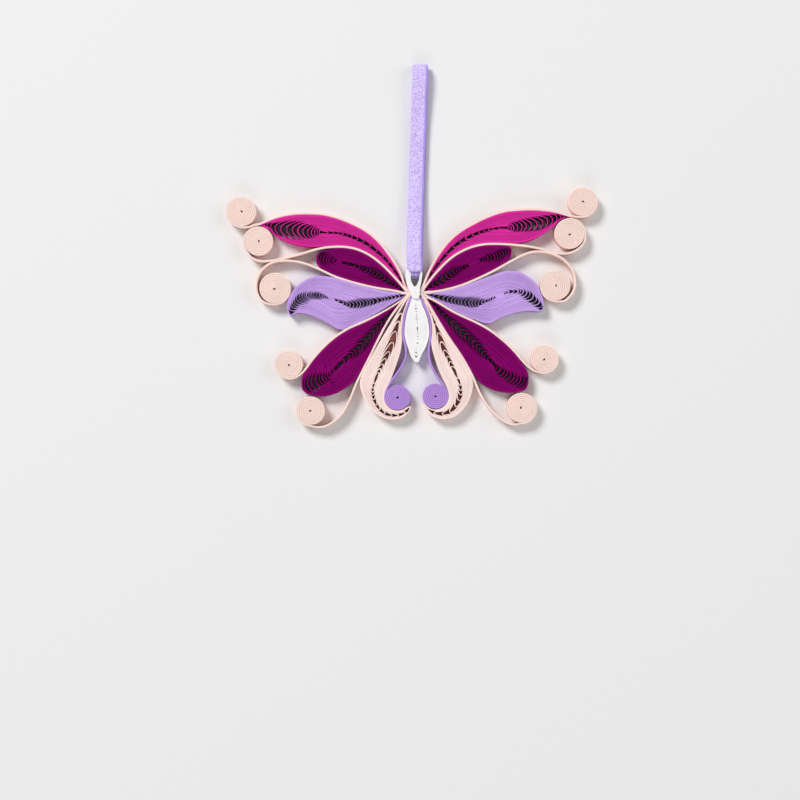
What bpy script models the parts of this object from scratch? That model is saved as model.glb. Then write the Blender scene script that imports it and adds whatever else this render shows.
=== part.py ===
"""Quilled paper butterfly on a hanging ribbon, lying flat on its back.

Every piece is made of paper strips that stand on edge. A scroll is one strip: a tight coil whose loose
end runs along the wings to the waist. A wing is a coil of nested loops pressed into a petal, packed at
its flanks and open along its spine. The ribbon goes through the eye of the head loop and back over it.

Frame, in metres: the origin is on the flat back, at the middle of the abdomen. +X is the wing at the
right, +Y the head, and +Z comes up out of the front. Sketch points are in millimetres.
"""

import math

import bmesh
import bpy
import numpy as np

MM = 0.001

# Paper strips
STRIP_HEIGHT = 0.0032  # all strips stand on edge and are this tall
RIM_PAPER = 0.00044  # a scroll's strip, glued double
TOP_RIM_PAPER = 0.00036  # the topmost scroll's strip, single
WING_PAPER = 0.00023  # one loop of a wing
GLUE_GAP = 0.00015  # between two pieces that are glued together

# Coils
COIL_GAP = 0.00012  # between the turns of a coil
COIL_CORE = 0.0004  # radius left open where the tool was drawn out
TURN_STEPS = 12  # straight runs in an outer turn, and half of them in an inner one
FINE_TURNS = 2  # outer turns that have all the steps

# Wing spines
SEAM_SLOT = 0.00026  # an opening that reaches no further to each side is a plain slot
SMALLEST_SLOT = 0.0001  # and one that would reach less far isn't there
SLOT_WALL = 0.00036  # paper left between two openings along the spine
CAP_ROUND = 0.0008  # how round the loops are where they turn over the spine
ROOT_WIDTH = 0.00026  # a wing starts where it is this wide

# Head loop and ribbon
HEAD_LIFT = 0.0006  # the head loop is glued this far above the back, so that the ribbon passes under it
RIBBON_WIDTH = 0.004
RIBBON_THICKNESS = 0.00025
RIBBON_CLEARANCE = 0.0003  # between the ribbon and the head loop
RIBBON_LIES = 0.00002  # above the table
RIBBON_GATHERS_OVER = 0.0013  # the length in which it is gathered
RIBBON_GATHERED_IN = 0.0009  # how far past the eye's upper edge it is down to the eye's width

# Drawing accuracy
FINE_STEP = 0.0003
SIDE_TOLERANCE = 0.00008

PINK = (0.93, 0.62, 0.53)
PALE_PINK = (0.95, 0.70, 0.62)
MAGENTA = (0.66, 0.02, 0.30)
PLUM = (0.19, 0.0, 0.12)
LILAC = (0.50, 0.30, 0.77)
WHITE = (0.85, 0.84, 0.84)
RIBBON_LILAC = (0.60, 0.50, 0.90)

# Each scroll: the centre of its coil, its turns, the direction in degrees in which its end leaves the
# coil, which way it winds outwards (1 is anticlockwise), and the points that the end passes on its way
# to the waist.
LEFT_SCROLLS = {
    "top": dict(
        centre=(-45.5, 29.4), turns=7.0, leaves=-88, winds=1, paper=TOP_RIM_PAPER,
        end=[(-42.5, 25.7), (-40.2, 26.6), (-36.8, 27.9), (-32.9, 28.8), (-29.0, 29.0), (-25.1, 28.9),
             (-21.2, 28.1), (-17.3, 26.6), (-14.2, 25.1), (-11.1, 22.9), (-8.5, 20.1), (-6.1, 16.8),
             (-4.3, 13.7), (-3.1, 10.9), (-2.3, 9.1)],
    ),
    "upper": dict(
        centre=(-41.1, 21.7), turns=5.8, leaves=198, winds=1, paper=RIM_PAPER,
        end=[(-43.3, 17.9), (-41.5, 16.8), (-39.4, 16.6), (-36.8, 16.9), (-32.9, 17.7), (-29.0, 18.8),
             (-25.1, 19.9), (-22.0, 20.3), (-18.6, 20.3), (-15.5, 19.7), (-12.6, 18.4), (-10.0, 16.6),
             (-7.4, 14.2), (-5.1, 11.7), (-3.2, 9.4), (-1.3, 7.3)],
    ),
    "side": dict(
        centre=(-36.9, 9.5), turns=6.2, leaves=-75, winds=-1, paper=RIM_PAPER,
        end=[(-38.4, 5.5), (-40.2, 6.3), (-41.3, 7.9), (-41.7, 9.9), (-41.4, 12.1), (-40.3, 14.2),
             (-38.6, 15.7), (-36.3, 16.6), (-32.9, 16.7), (-29.8, 16.2), (-26.9, 15.2), (-23.8, 13.8),
             (-19.9, 12.1), (-16.0, 11.0), (-12.1, 10.0), (-8.2, 9.2), (-4.8, 8.7), (-1.6, 7.9)],
    ),
    "lower": dict(
        centre=(-33.1, -10.3), turns=5.6, leaves=-50, winds=1, paper=RIM_PAPER,
        end=[(-29.5, -12.2), (-27.7, -9.8), (-25.1, -6.7), (-22.5, -4.2), (-19.9, -2.2), (-17.3, -0.7),
             (-14.2, 0.6), (-10.8, 2.6), (-7.7, 4.4), (-5.3, 5.7), (-3.5, 6.8), (-2.0, 7.7)],
    ),
    "bottom": dict(
        centre=(-27.5, -22.4), turns=5.7, leaves=-95, winds=1, paper=RIM_PAPER,
        end=[(-24.8, -26.6), (-22.5, -25.7), (-20.4, -24.2), (-18.9, -22.4), (-17.4, -19.5),
             (-16.2, -16.5), (-15.0, -13.9), (-12.6, -9.2), (-9.2, -3.5), (-7.4, -0.4), (-5.7, 2.5),
             (-4.3, 5.1), (-3.2, 6.8)],
    ),
    "tail": dict(
        centre=(-4.9, -18.7), turns=4.8, leaves=150, winds=-1, paper=RIM_PAPER,
        end=[(-7.3, -15.9), (-6.1, -13.9), (-4.7, -12.1), (-3.5, -10.1), (-2.8, -8.3), (-2.7, -6.5),
             (-3.1, -4.5), (-3.4, -2.3), (-3.3, 0.3), (-2.9, 2.3), (-2.3, 4.2), (-1.7, 6.2)],
    ),
}
RIGHT_SCROLLS = {
    "top": dict(
        centre=(43.2, 32.0), turns=6.8, leaves=-92, winds=-1, paper=TOP_RIM_PAPER,
        end=[(40.4, 28.3), (38.4, 28.9), (35.5, 29.6), (32.4, 30.0), (29.0, 30.1), (25.6, 29.9),
             (22.5, 29.5), (19.4, 28.5), (16.2, 27.1), (13.3, 25.5), (10.5, 23.7), (7.9, 21.2),
             (5.6, 18.1), (3.6, 14.6), (2.4, 11.8), (1.7, 10.0)],
    ),
    "upper": dict(
        centre=(39.9, 23.7), turns=6.1, leaves=-10, winds=-1, paper=RIM_PAPER,
        end=[(43.5, 21.3), (42.2, 19.9), (40.3, 18.9), (37.7, 18.6), (34.7, 19.1), (32.1, 19.9),
             (29.0, 20.5), (25.1, 20.9), (21.2, 21.1), (17.8, 21.0), (14.7, 20.4), (11.6, 19.1),
             (8.7, 17.2), (6.1, 14.7), (3.8, 12.0), (2.1, 9.9), (0.7, 8.0)],
    ),
    "side": dict(
        centre=(36.2, 10.2), turns=6.0, leaves=-105, winds=1, paper=RIM_PAPER,
        end=[(38.3, 6.2), (39.9, 7.5), (41.0, 9.1), (41.3, 11.4), (40.8, 13.7), (39.6, 15.7),
             (37.8, 17.4), (35.2, 18.6), (32.4, 19.1), (29.5, 18.9), (26.9, 17.8), (23.8, 16.2),
             (20.9, 14.5), (17.6, 12.9), (13.9, 11.2), (10.3, 9.9), (6.1, 8.9), (2.7, 8.5), (1.0, 8.1)],
    ),
    "lower": dict(
        centre=(33.2, -8.8), turns=5.5, leaves=-115, winds=-1, paper=RIM_PAPER,
        end=[(30.1, -11.6), (28.9, -10.6), (27.8, -9.5), (25.1, -6.4), (22.8, -4.2), (20.4, -2.3),
             (17.8, -0.5), (14.7, 1.0), (11.3, 2.6), (7.9, 4.4), (5.1, 6.1), (3.0, 7.2), (1.4, 7.8)],
    ),
    "bottom": dict(
        centre=(27.3, -21.6), turns=6.0, leaves=-95, winds=-1, paper=RIM_PAPER,
        end=[(25.4, -25.9), (23.0, -25.1), (20.4, -23.1), (18.1, -20.4), (16.4, -17.5), (15.2, -14.8),
             (14.3, -12.7), (12.6, -9.6), (10.7, -6.6), (8.7, -3.7), (6.8, -0.7), (4.9, 2.5),
             (3.5, 4.9), (2.4, 6.6)],
    ),
    "tail": dict(
        centre=(4.9, -18.4), turns=4.8, leaves=40, winds=1, paper=RIM_PAPER,
        end=[(7.0, -15.5), (5.7, -13.7), (4.4, -11.6), (3.5, -9.4), (3.2, -7.0), (3.4, -4.5),
             (3.6, -2.1), (3.6, 0.5), (3.1, 2.5), (2.4, 4.2), (1.7, 5.9)],
    ),
}

# Each wing has two flanks, from its root at the waist to its tip. A flank follows the end of a scroll
# as far as the point "until", and then its own points. The spine may lean towards the flank above, by
# a share of the wing's half width, near its root and near its tip. The openings along it are in two
# rows, one from each end: where the row starts and stops as a share of the spine, how many there are,
# how far they open to each side in millimetres, how steeply their horns sweep back, and how much
# smaller the innermost one is.
LEFT_WINGS = {
    "forewing": dict(
        paint=MAGENTA,
        lean=(0.0, 0.0),
        above=dict(scroll="top", until=(-41.2, 26.3), own=[]),
        below=dict(scroll="upper", until=(-25.6, 19.6), own=[
            (-28.2, 20.4), (-30.8, 20.9), (-33.4, 21.7), (-35.8, 22.5), (-37.2, 23.7), (-38.4, 24.8),
            (-39.8, 25.4)]),
        tip_row=dict(start=0.955, stop=0.62, count=12, opens=2.0, sweep=1.3, fade=0.7),
        root_row=dict(start=0.06, stop=0.595, count=12, opens=0.24, sweep=0.0, fade=0.0),
    ),
    "middle_wing": dict(
        paint=PLUM,
        lean=(0.0, 0.0),
        above=dict(scroll="upper", until=(-24.1, 20.1), own=[(-25.4, 18.8), (-26.0, 17.9)]),
        below=dict(scroll="side", until=(-24.3, 14.0), own=[(-25.4, 15.3), (-25.9, 16.6)]),
        tip_row=dict(start=0.965, stop=0.80, count=5, opens=1.7, sweep=0.8, fade=0.5),
        root_row=dict(start=0.10, stop=0.54, count=9, opens=1.3, sweep=0.9, fade=0.3),
    ),
    "hindwing": dict(
        paint=LILAC,
        lean=(-0.2, 0.35),
        above=dict(scroll="side", until=(-22.2, 13.0), own=[
            (-23.8, 12.7), (-25.6, 12.7), (-27.7, 12.3), (-29.8, 11.1), (-31.6, 9.6), (-32.8, 8.0),
            (-33.5, 6.2), (-33.7, 4.3), (-32.9, 1.8)]),
        below=dict(scroll="lower", until=(-17.3, -0.5), own=[
            (-19.1, -1.2), (-21.7, -0.2), (-24.6, 1.2), (-27.2, 2.4), (-29.2, 3.2), (-31.1, 3.3),
            (-32.2, 2.6)]),
        tip_row=dict(start=0.93, stop=0.66, count=9, opens=1.0, sweep=0.8, fade=0.6),
        root_row=dict(start=0.07, stop=0.50, count=12, opens=1.3, sweep=0.7, fade=0.5),
    ),
    "lower_wing": dict(
        paint=PLUM,
        lean=(0.0, 0.0),
        above=dict(scroll="lower", until=(-28.6, -11.0), own=[
            (-29.4, -13.0), (-29.8, -14.8), (-29.7, -16.6), (-28.8, -17.7)]),
        below=dict(scroll="bottom", until=(-14.4, -12.4), own=[
            (-15.5, -13.6), (-17.0, -15.3), (-19.6, -17.1), (-22.5, -18.3), (-25.1, -18.6),
            (-27.2, -18.4)]),
        tip_row=dict(start=0.965, stop=0.73, count=7, opens=1.8, sweep=0.8, fade=0.5),
        root_row=dict(start=0.08, stop=0.57, count=13, opens=1.5, sweep=1.4, fade=0.2),
    ),
    "tail_wing": dict(
        paint=PALE_PINK,
        lean=(0.0, 0.35),
        above=dict(scroll="bottom", until=(-13.5, -11.4), own=[
            (-14.5, -13.8), (-14.6, -15.9), (-14.0, -18.3), (-12.6, -20.9), (-10.7, -22.9),
            (-8.2, -24.3), (-5.9, -24.6), (-3.5, -24.0), (-2.0, -22.5), (-0.9, -20.4)]),
        below=dict(scroll="tail", until=(-3.5, -2.1), own=[
            (-3.8, -4.7), (-4.3, -7.3), (-5.0, -9.6), (-6.0, -12.0), (-6.9, -14.4), (-7.9, -16.5),
            (-8.4, -18.1), (-8.1, -19.9), (-7.0, -21.4), (-5.2, -22.2), (-3.5, -22.0), (-2.1, -21.2)]),
        tip_row=dict(start=0.97, stop=0.54, count=13, opens=0.24, sweep=0.0, fade=0.0),
        root_row=dict(start=0.07, stop=0.52, count=9, opens=1.0, sweep=1.6, fade=0.4),
    ),
}
RIGHT_WINGS = {
    "forewing": dict(
        paint=MAGENTA,
        lean=(0.0, 0.0),
        above=dict(scroll="top", until=(40.0, 28.4), own=[]),
        below=dict(scroll="upper", until=(25.1, 20.9), own=[
            (26.9, 21.4), (28.7, 22.0), (30.8, 23.0), (33.4, 24.4), (35.5, 25.5), (37.1, 26.9),
            (38.6, 27.6), (40.0, 28.0)]),
        tip_row=dict(start=0.95, stop=0.60, count=13, opens=2.0, sweep=1.3, fade=0.7),
        root_row=dict(start=0.06, stop=0.575, count=12, opens=0.24, sweep=0.0, fade=0.0),
    ),
    "middle_wing": dict(
        paint=PLUM,
        lean=(0.0, 0.0),
        above=dict(scroll="upper", until=(22.5, 20.8), own=[(24.1, 20.3), (24.7, 19.5)]),
        below=dict(scroll="side", until=(22.5, 15.5), own=[(23.8, 16.8), (24.5, 18.2)]),
        tip_row=dict(start=0.965, stop=0.68, count=8, opens=1.7, sweep=0.8, fade=0.6),
        root_row=dict(start=0.10, stop=0.49, count=9, opens=1.3, sweep=0.9, fade=0.3),
    ),
    "hindwing": dict(
        paint=LILAC,
        lean=(-0.2, 0.3),
        above=dict(scroll="side", until=(21.0, 14.5), own=[
            (23.0, 14.0), (24.8, 14.0), (26.7, 13.8), (28.5, 13.0), (30.2, 11.7), (31.5, 10.3),
            (32.4, 8.5), (33.0, 6.4), (33.1, 4.7), (32.8, 3.4)]),
        below=dict(scroll="lower", until=(16.2, 0.4), own=[
            (17.8, 0.5), (20.5, 1.2), (23.1, 2.1), (25.7, 3.1), (27.9, 3.7), (30.2, 3.8),
            (31.6, 3.6)]),
        tip_row=dict(start=0.95, stop=0.72, count=8, opens=1.0, sweep=0.8, fade=0.6),
        root_row=dict(start=0.07, stop=0.52, count=12, opens=1.3, sweep=0.7, fade=0.5),
    ),
    "lower_wing": dict(
        paint=PLUM,
        lean=(0.0, 0.0),
        above=dict(scroll="lower", until=(27.7, -9.4), own=[
            (28.6, -11.7), (29.1, -13.5), (29.0, -15.3), (28.5, -16.7)]),
        below=dict(scroll="bottom", until=(14.5, -13.0), own=[
            (16.0, -14.2), (18.1, -15.9), (20.7, -17.1), (23.0, -17.6), (25.4, -17.6),
            (27.2, -17.3)]),
        tip_row=dict(start=0.965, stop=0.75, count=7, opens=1.6, sweep=0.8, fade=0.5),
        root_row=dict(start=0.08, stop=0.57, count=13, opens=1.5, sweep=1.4, fade=0.2),
    ),
    "tail_wing": dict(
        paint=PALE_PINK,
        lean=(0.0, 0.3),
        above=dict(scroll="bottom", until=(13.6, -11.4), own=[
            (14.4, -13.8), (14.6, -15.9), (14.2, -18.2), (13.1, -20.7), (11.5, -22.6), (9.5, -24.0),
            (7.2, -24.5), (5.1, -24.3), (3.2, -23.0), (2.1, -21.4), (1.4, -19.8)]),
        below=dict(scroll="tail", until=(3.6, -2.6), own=[
            (3.8, -4.2), (4.4, -7.0), (5.3, -10.3), (6.5, -13.1), (7.8, -15.6), (8.5, -17.6),
            (8.4, -19.2), (7.5, -20.7), (5.9, -21.7), (4.0, -21.8), (2.5, -21.0)]),
        tip_row=dict(start=0.97, stop=0.54, count=13, opens=0.24, sweep=0.0, fade=0.0),
        root_row=dict(start=0.07, stop=0.52, count=9, opens=1.0, sweep=1.6, fade=0.4),
    ),
}

# In the order in which the scrolls' ends are glued on: each scroll, and the one that it lies against
NEIGHBOURS = (("upper", None), ("top", "upper"), ("side", "upper"), ("lower", "side"),
              ("bottom", "lower"), ("tail", "bottom"))

# The abdomen's sides from the waist to the tip
ABDOMEN_LEFT = [(-1.3, 6.8), (-1.7, 5.2), (-2.6, 2.6), (-3.0, 0.0), (-3.1, -2.6), (-2.5, -5.2),
                (-1.4, -7.8), (-0.8, -9.2), (-0.1, -9.9)]
ABDOMEN_RIGHT = [(1.0, 6.8), (1.5, 5.2), (2.6, 2.6), (3.2, 0.0), (3.3, -2.6), (2.6, -5.2), (1.2, -7.8),
                 (0.6, -9.2), (-0.1, -9.9)]

# The head loop, clockwise from the left of its neck, and its eye
HEAD_OUTSIDE = [(-1.0, 7.1), (-1.1, 8.4), (-2.0, 9.4), (-2.6, 10.9), (-2.9, 12.7), (-2.7, 14.2),
                (-1.9, 15.0), (0.6, 15.1), (1.4, 14.6), (1.5, 13.2), (1.3, 11.4), (0.9, 9.9),
                (0.6, 8.7), (0.6, 7.1)]
EYE = [(-1.4, 14.4), (-1.5, 12.7), (-1.4, 11.4), (-1.0, 10.4), (-0.4, 9.8), (0.1, 10.3), (0.5, 11.3),
       (0.8, 12.7), (0.8, 14.4)]

# The ribbon's route: across the picture and up it, and for the stretches that don't lie on the table
# also how high above it. It starts in the eye, goes out under the head loop and along the table to the
# bight, and comes back over itself and over the head loop into the eye.
RIBBON_START = [(-0.4, 12.6, 1.9), (-0.4, 12.9, 0.9), (-0.4, 13.8, 0.25)]
RIBBON_BACK = [(-0.4, 15.4), (-0.4, 18.0), (-0.2, 24.0), (0.1, 33.0), (0.4, 43.0), (0.7, 53.0), (0.9, 61.0)]
RIBBON_BIGHT = [(1.0, 65.5, 0.2), (1.0, 67.4, 0.6), (1.0, 68.0, 1.5), (1.0, 67.4, 2.5), (1.0, 65.5, 2.9)]
RIBBON_FRONT = [(0.8, 61.0, 2.6), (0.6, 53.0, 2.0), (0.2, 43.0, 1.7), (-0.1, 33.0, 1.9), (-0.4, 24.0, 2.9)]
RIBBON_OVER = [(-0.5, 18.0), (-0.4, 15.6), (-0.4, 13.9)]
RIBBON_END = [(-0.4, 12.9, 3.7), (-0.4, 12.3, 2.8)]


def along(line):
    """How far each point is along the line."""
    return np.concatenate([[0.0], np.cumsum(np.linalg.norm(np.diff(line, axis=0), axis=1))])


def evenly(line, step):
    """The line again, with points about a step apart."""
    far = along(line)
    at = np.linspace(0, far[-1], max(2, round(far[-1] / step) + 1))
    return np.stack([np.interp(at, far, line[:, k]) for k in range(line.shape[1])], axis=1)


def smooth(points, step=FINE_STEP):
    """A smooth curve through the points."""
    p = np.array(points, float)
    p = np.vstack([2 * p[0] - p[1], p, 2 * p[-1] - p[-2]])
    t = np.linspace(0, 1, 16, endpoint=False)[:, None]
    runs = []
    for a, b, c, d in zip(p[:-3], p[1:-2], p[2:-1], p[3:]):
        bend = (2 * a - 5 * b + 4 * c - d) * t**2 + (3 * b - a - 3 * c + d) * t**3
        runs.append(b + 0.5 * ((c - a) * t + bend))
    return evenly(np.vstack([*runs, p[-2:-1]]), step)


def in_metres(points):
    return np.array(points, float) * MM


def at_height(points, height):
    """Flat points in millimetres, lifted to a height in metres."""
    return np.column_stack([in_metres(points), np.full(len(points), height)])


def to_the_left(line):
    """The unit normals of a flat line, at the left hand of someone who walks along it."""
    run = np.gradient(line, axis=0)
    run /= np.maximum(np.linalg.norm(run, axis=1), 1e-12)[:, None]
    return np.stack([-run[:, 1], run[:, 0]], axis=1)


def between(line, start, end):
    """The part of a line between the points of it that are nearest to start and end."""
    first, last = (int(np.linalg.norm(line - p, axis=1).argmin()) for p in (start, end))
    return line[first : last + 1] if first <= last else line[last : first + 1][::-1]


def thinned(line, tolerance=SIDE_TOLERANCE):
    """The line without the points that its straight runs don't need."""
    keep = np.zeros(len(line), bool)
    keep[[0, -1]] = True
    todo = [(0, len(line) - 1)]
    while todo:
        a, b = todo.pop()
        if b - a < 2:
            continue
        run = line[b] - line[a]
        rest = line[a + 1 : b] - line[a]
        share = np.clip(rest @ run / max(run @ run, 1e-18), 0, 1)
        away = np.linalg.norm(rest - share[:, None] * run, axis=1)
        far = int(away.argmax())
        if away[far] > tolerance:
            keep[a + 1 + far] = True
            todo += [(a, a + 1 + far), (a + 1 + far, b)]
    return line[keep]


def clear_of_circle(line, centre, radius):
    """The line, pushed out of a circle where it enters it."""
    out = line - centre
    far = np.maximum(np.linalg.norm(out, axis=1), 1e-9)[:, None]
    return centre + out * np.maximum(far, radius) / far


def clear_of_line(line, other, distance, side):
    """The line, pushed until it is at least that far from the other's given side: 1 left, -1 right."""
    normals = to_the_left(other) * side
    moved = line.copy()
    for i, p in enumerate(line):
        away = p - other
        near = int(np.linalg.norm(away, axis=1).argmin())
        height = away[near] @ normals[near]
        past = np.linalg.norm(away[near] - height * normals[near])
        if -2 * distance < height < distance and past < distance:
            moved[i] = p + (distance - height) * normals[near]
    return moved


def trimmed(line, other, distance):
    """The line, cut short where its second half comes too near to the other."""
    near = np.linalg.norm(line[:, None] - other[None], axis=2).min(axis=1)
    close = np.flatnonzero(near < distance)
    close = close[close > len(line) // 2]
    return line[: close[0]] if len(close) else line


def paint(name, colour, roughness=0.8):
    material = bpy.data.materials.get(name) or bpy.data.materials.new(name)
    material.use_nodes = True
    shader = material.node_tree.nodes["Principled BSDF"]
    shader.inputs["Base Color"].default_value = (*colour, 1)
    shader.inputs["Roughness"].default_value = roughness
    material.diffuse_color = (*colour, 1)
    return material


def add_mesh(name, build, material):
    """One object whose mesh the function build makes."""
    mesh = bpy.data.meshes.new(name)
    shape = bmesh.new()
    build(shape)
    bmesh.ops.recalc_face_normals(shape, faces=shape.faces)
    shape.to_mesh(mesh)
    shape.free()
    mesh.materials.append(material)
    piece = bpy.data.objects.new(name, mesh)
    bpy.context.scene.collection.objects.link(piece)
    return piece


def band(shape, corners):
    """Faces round a row of four-cornered sections, and over its two ends."""
    rings = [[shape.verts.new(corner) for corner in section] for section in corners]
    for one, two in zip(rings, rings[1:]):
        for k in range(4):
            shape.faces.new((one[k], one[(k + 1) % 4], two[(k + 1) % 4], two[k]))
    shape.faces.new(rings[0])
    shape.faces.new(rings[-1])


def strip_on_edge(name, line, paper, material):
    """A strip that stands on edge along a flat line."""
    half = to_the_left(line) * paper / 2

    def build(shape):
        band(shape, [
            [(*left, 0), (*right, 0), (*right, STRIP_HEIGHT), (*left, STRIP_HEIGHT)]
            for left, right in zip(line + half, line - half)
        ])

    return add_mesh(name, build, material)


def flat_piece(name, outline, openings, bottom, top, material):
    """A flat outline with openings, drawn as a filled curve and extruded from bottom to top."""
    curve = bpy.data.curves.new(name, "CURVE")
    curve.dimensions = "2D"
    curve.fill_mode = "BOTH"
    curve.extrude = (top - bottom) / 2
    for ring in [outline, *openings]:
        spline = curve.splines.new("POLY")
        spline.points.add(len(ring) - 1)
        for point, (x, y) in zip(spline.points, ring):
            point.co = (x, y, 0, 1)
        spline.use_cyclic_u = True
    curve.materials.append(material)
    piece = bpy.data.objects.new(name, curve)
    piece.location.z = (bottom + top) / 2
    bpy.context.scene.collection.objects.link(piece)
    return piece


def coil_radius(scroll):
    """From the coil's centre to the middle of its strip, where its end leaves."""
    return COIL_CORE + scroll["paper"] / 2 + scroll["turns"] * (scroll["paper"] + COIL_GAP)


def coil_rim(scroll):
    """From the coil's centre to just outside it."""
    return coil_radius(scroll) + scroll["paper"] / 2 + GLUE_GAP


def coil_line(scroll):
    """The middle of a coil's strip, from its core out to where its end leaves."""
    pitch = scroll["paper"] + COIL_GAP
    step = 360 / TURN_STEPS
    back = [k * step for k in range(FINE_TURNS * TURN_STEPS)]
    while back[-1] + 2 * step < 360 * scroll["turns"]:
        back.append(back[-1] + (step if back[-1] < 360 * FINE_TURNS else 2 * step))
    points = []
    for turn in reversed(back):
        angle = math.radians(scroll["leaves"] - scroll["winds"] * turn)
        radius = coil_radius(scroll) - pitch * turn / 360
        points.append((radius * math.cos(angle), radius * math.sin(angle)))
    return in_metres(scroll["centre"]) + np.array(points)


def end_line(scroll):
    """The middle of a scroll's loose end, from its coil to the waist, clear of the coil's own turns."""
    centre = in_metres(scroll["centre"])
    leaves = coil_line(scroll)[-2:]
    line = smooth([*leaves, *in_metres(scroll["end"])])
    line = between(line, leaves[-1], line[-1])
    out = line - centre
    turned = np.arctan2(out[:, 1], out[:, 0]) - math.radians(scroll["leaves"])
    share = scroll["winds"] * turned / (2 * math.pi) % 1
    share[0] = 0
    wound = coil_radius(scroll) + (scroll["paper"] + COIL_GAP) * share
    far = np.linalg.norm(out, axis=1)
    return centre + out * (np.maximum(far, wound) / far)[:, None]


def settle_ends(scrolls, side, body):
    """The scrolls' loose ends, each against its neighbour. The upper scroll is glued on first."""
    ends = {}
    for name, neighbour in NEIGHBOURS:
        scroll = scrolls[name]
        line = end_line(scroll)
        for other in scrolls.values():
            if other is not scroll:
                reach = coil_rim(other) + scroll["paper"] / 2
                line = clear_of_circle(line, in_metres(other["centre"]), reach)
        if neighbour:
            apart = (scroll["paper"] + scrolls[neighbour]["paper"]) / 2 + GLUE_GAP
            way = side if name == "top" else -side
            free = 3 * len(line) // 4
            line[:free] = clear_of_line(line[:free], ends[neighbour], apart, way)
        if name == "tail":
            line = clear_of_line(line, body[0], scroll["paper"] / 2 + GLUE_GAP, -side)
        for other in body:
            line = trimmed(line, other, 0.98 * (scroll["paper"] / 2 + GLUE_GAP))
        for laid, other in ends.items():
            apart = (scroll["paper"] + scrolls[laid]["paper"]) / 2 + GLUE_GAP
            line = trimmed(line, other, 0.98 * apart)
        ends[name] = line
    return ends


def flank(sketch, scrolls, ends, side, coils):
    """One side of a wing from the waist to its tip, laid against a scroll's end."""
    scroll = scrolls[sketch["scroll"]]
    apart = scroll["paper"] / 2 + GLUE_GAP
    end = ends[sketch["scroll"]][::-1]
    laid = between(end, end[0], in_metres(sketch["until"]))
    laid = laid + to_the_left(laid) * side * apart
    line = smooth(np.vstack([thinned(laid)[:-1], in_metres(sketch["own"] or [sketch["until"]])]))
    line = clear_of_line(line, end, apart, side)
    for centre, radius in coils:
        line = clear_of_circle(line, centre, radius)
    return line


def from_where_wide(above, below, side):
    """Both flanks from where a loop fits between them, with as many points each."""
    normals = to_the_left(below) * -side
    starts = tuple(
        int(np.linalg.norm(line - other[0], axis=1).argmin())
        for line, other in ((above, below), (below, above))
    )
    for i, point in enumerate(above[: len(above) // 2]):
        away = point - below
        near = int(np.linalg.norm(away, axis=1).argmin())
        if away[near] @ normals[near] < ROOT_WIDTH:
            starts = (i + 1, near + 1)
    lines = [line[start:] for line, start in zip((above, below), starts)]
    count = max(len(line) for line in lines)
    return [evenly(line, along(line)[-1] / count) for line in lines]


def wing_half(above, below, share):
    """The middle of a wing at a share of its length, and half of what lies across it there."""
    at = np.clip(share, 0, 1) * (len(above) - 1)
    low = min(int(at), len(above) - 2)
    a, b = (line[low] + (at - low) * (line[low + 1] - line[low]) for line in (above, below))
    return (a + b) / 2, (a - b) / 2


def spine_point(above, below, lean, share, across):
    """A point of a wing: its share of the way to the tip, and how far it is across from the spine."""
    middle, half = wing_half(above, below, share)
    leant = float(np.interp(share, (0, 0.35, 0.65, 0.85, 1), (0, *lean, lean[1], 0)))
    width = np.linalg.norm(half)
    limit = max(1 - 2 * WING_PAPER / width, 0)
    return middle + half * np.clip(leant + across / width, -limit, limit)


def half_open(above, below, lean, share, row, number):
    """How far an opening reaches to each side: the wing's half width less the loops packed there."""
    width = np.linalg.norm(wing_half(above, below, share)[1]) * (1 - max(map(abs, lean)))
    inner = max(0, number / (row["count"] - 1) - 0.4) / 0.6
    room = max(width - (number + 2) * WING_PAPER, 0.3 * width - WING_PAPER)
    return min(row["opens"] * MM * (1 - row["fade"] * inner**2), room)


def row_of_openings(above, below, lean, row):
    """The openings between the nested loops' ends, from one end of a wing inwards."""
    spine = along((above + below) / 2)[-1]
    inward = 1 if row["stop"] > row["start"] else -1
    wall = SLOT_WALL / spine / 2 * inward
    ends = np.linspace(row["start"], row["stop"], row["count"] + 1)
    openings = []
    for number, (outer, inner) in enumerate(zip(ends, ends[1:])):
        outer, inner = outer + wall, inner - wall
        half = half_open(above, below, lean, (outer + inner) / 2, row, number)
        if half < SMALLEST_SLOT:
            continue
        if half <= SEAM_SLOT:
            corners = [(outer, half), (inner, half), (inner, -half), (outer, -half)]
        else:
            corners = [(inner, half), (outer, 0.55 * half), (outer, -0.55 * half), (inner, -half),
                       (inner, 0)]
        opening = []
        for share, across in corners:
            back = row["sweep"] * across**2 / (abs(across) + CAP_ROUND)
            swept = share + inward * back / spine
            opening.append(spine_point(above, below, lean, swept, across))
        openings.append(opening)
    return openings


def make_wing(name, sketch, scrolls, ends, side):
    coils = [(in_metres(scroll["centre"]), coil_rim(scroll)) for scroll in scrolls.values()]
    above = flank(sketch["above"], scrolls, ends, side, coils)
    below = flank(sketch["below"], scrolls, ends, -side, coils)
    above, below = from_where_wide(above, below, side)
    outline = np.vstack([thinned(above), thinned(below)[::-1]])
    openings = [
        opening
        for row in (sketch["root_row"], sketch["tip_row"])
        for opening in row_of_openings(above, below, sketch["lean"], row)
    ]
    flat_piece(name, outline, openings, 0, STRIP_HEIGHT, paint(name + "_paper", sketch["paint"]))


def make_scroll(name, scroll, end, colour):
    line = np.vstack([coil_line(scroll)[:-1], thinned(end)])
    strip_on_edge(name, line, scroll["paper"], paint(name + "_paper", colour))


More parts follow.
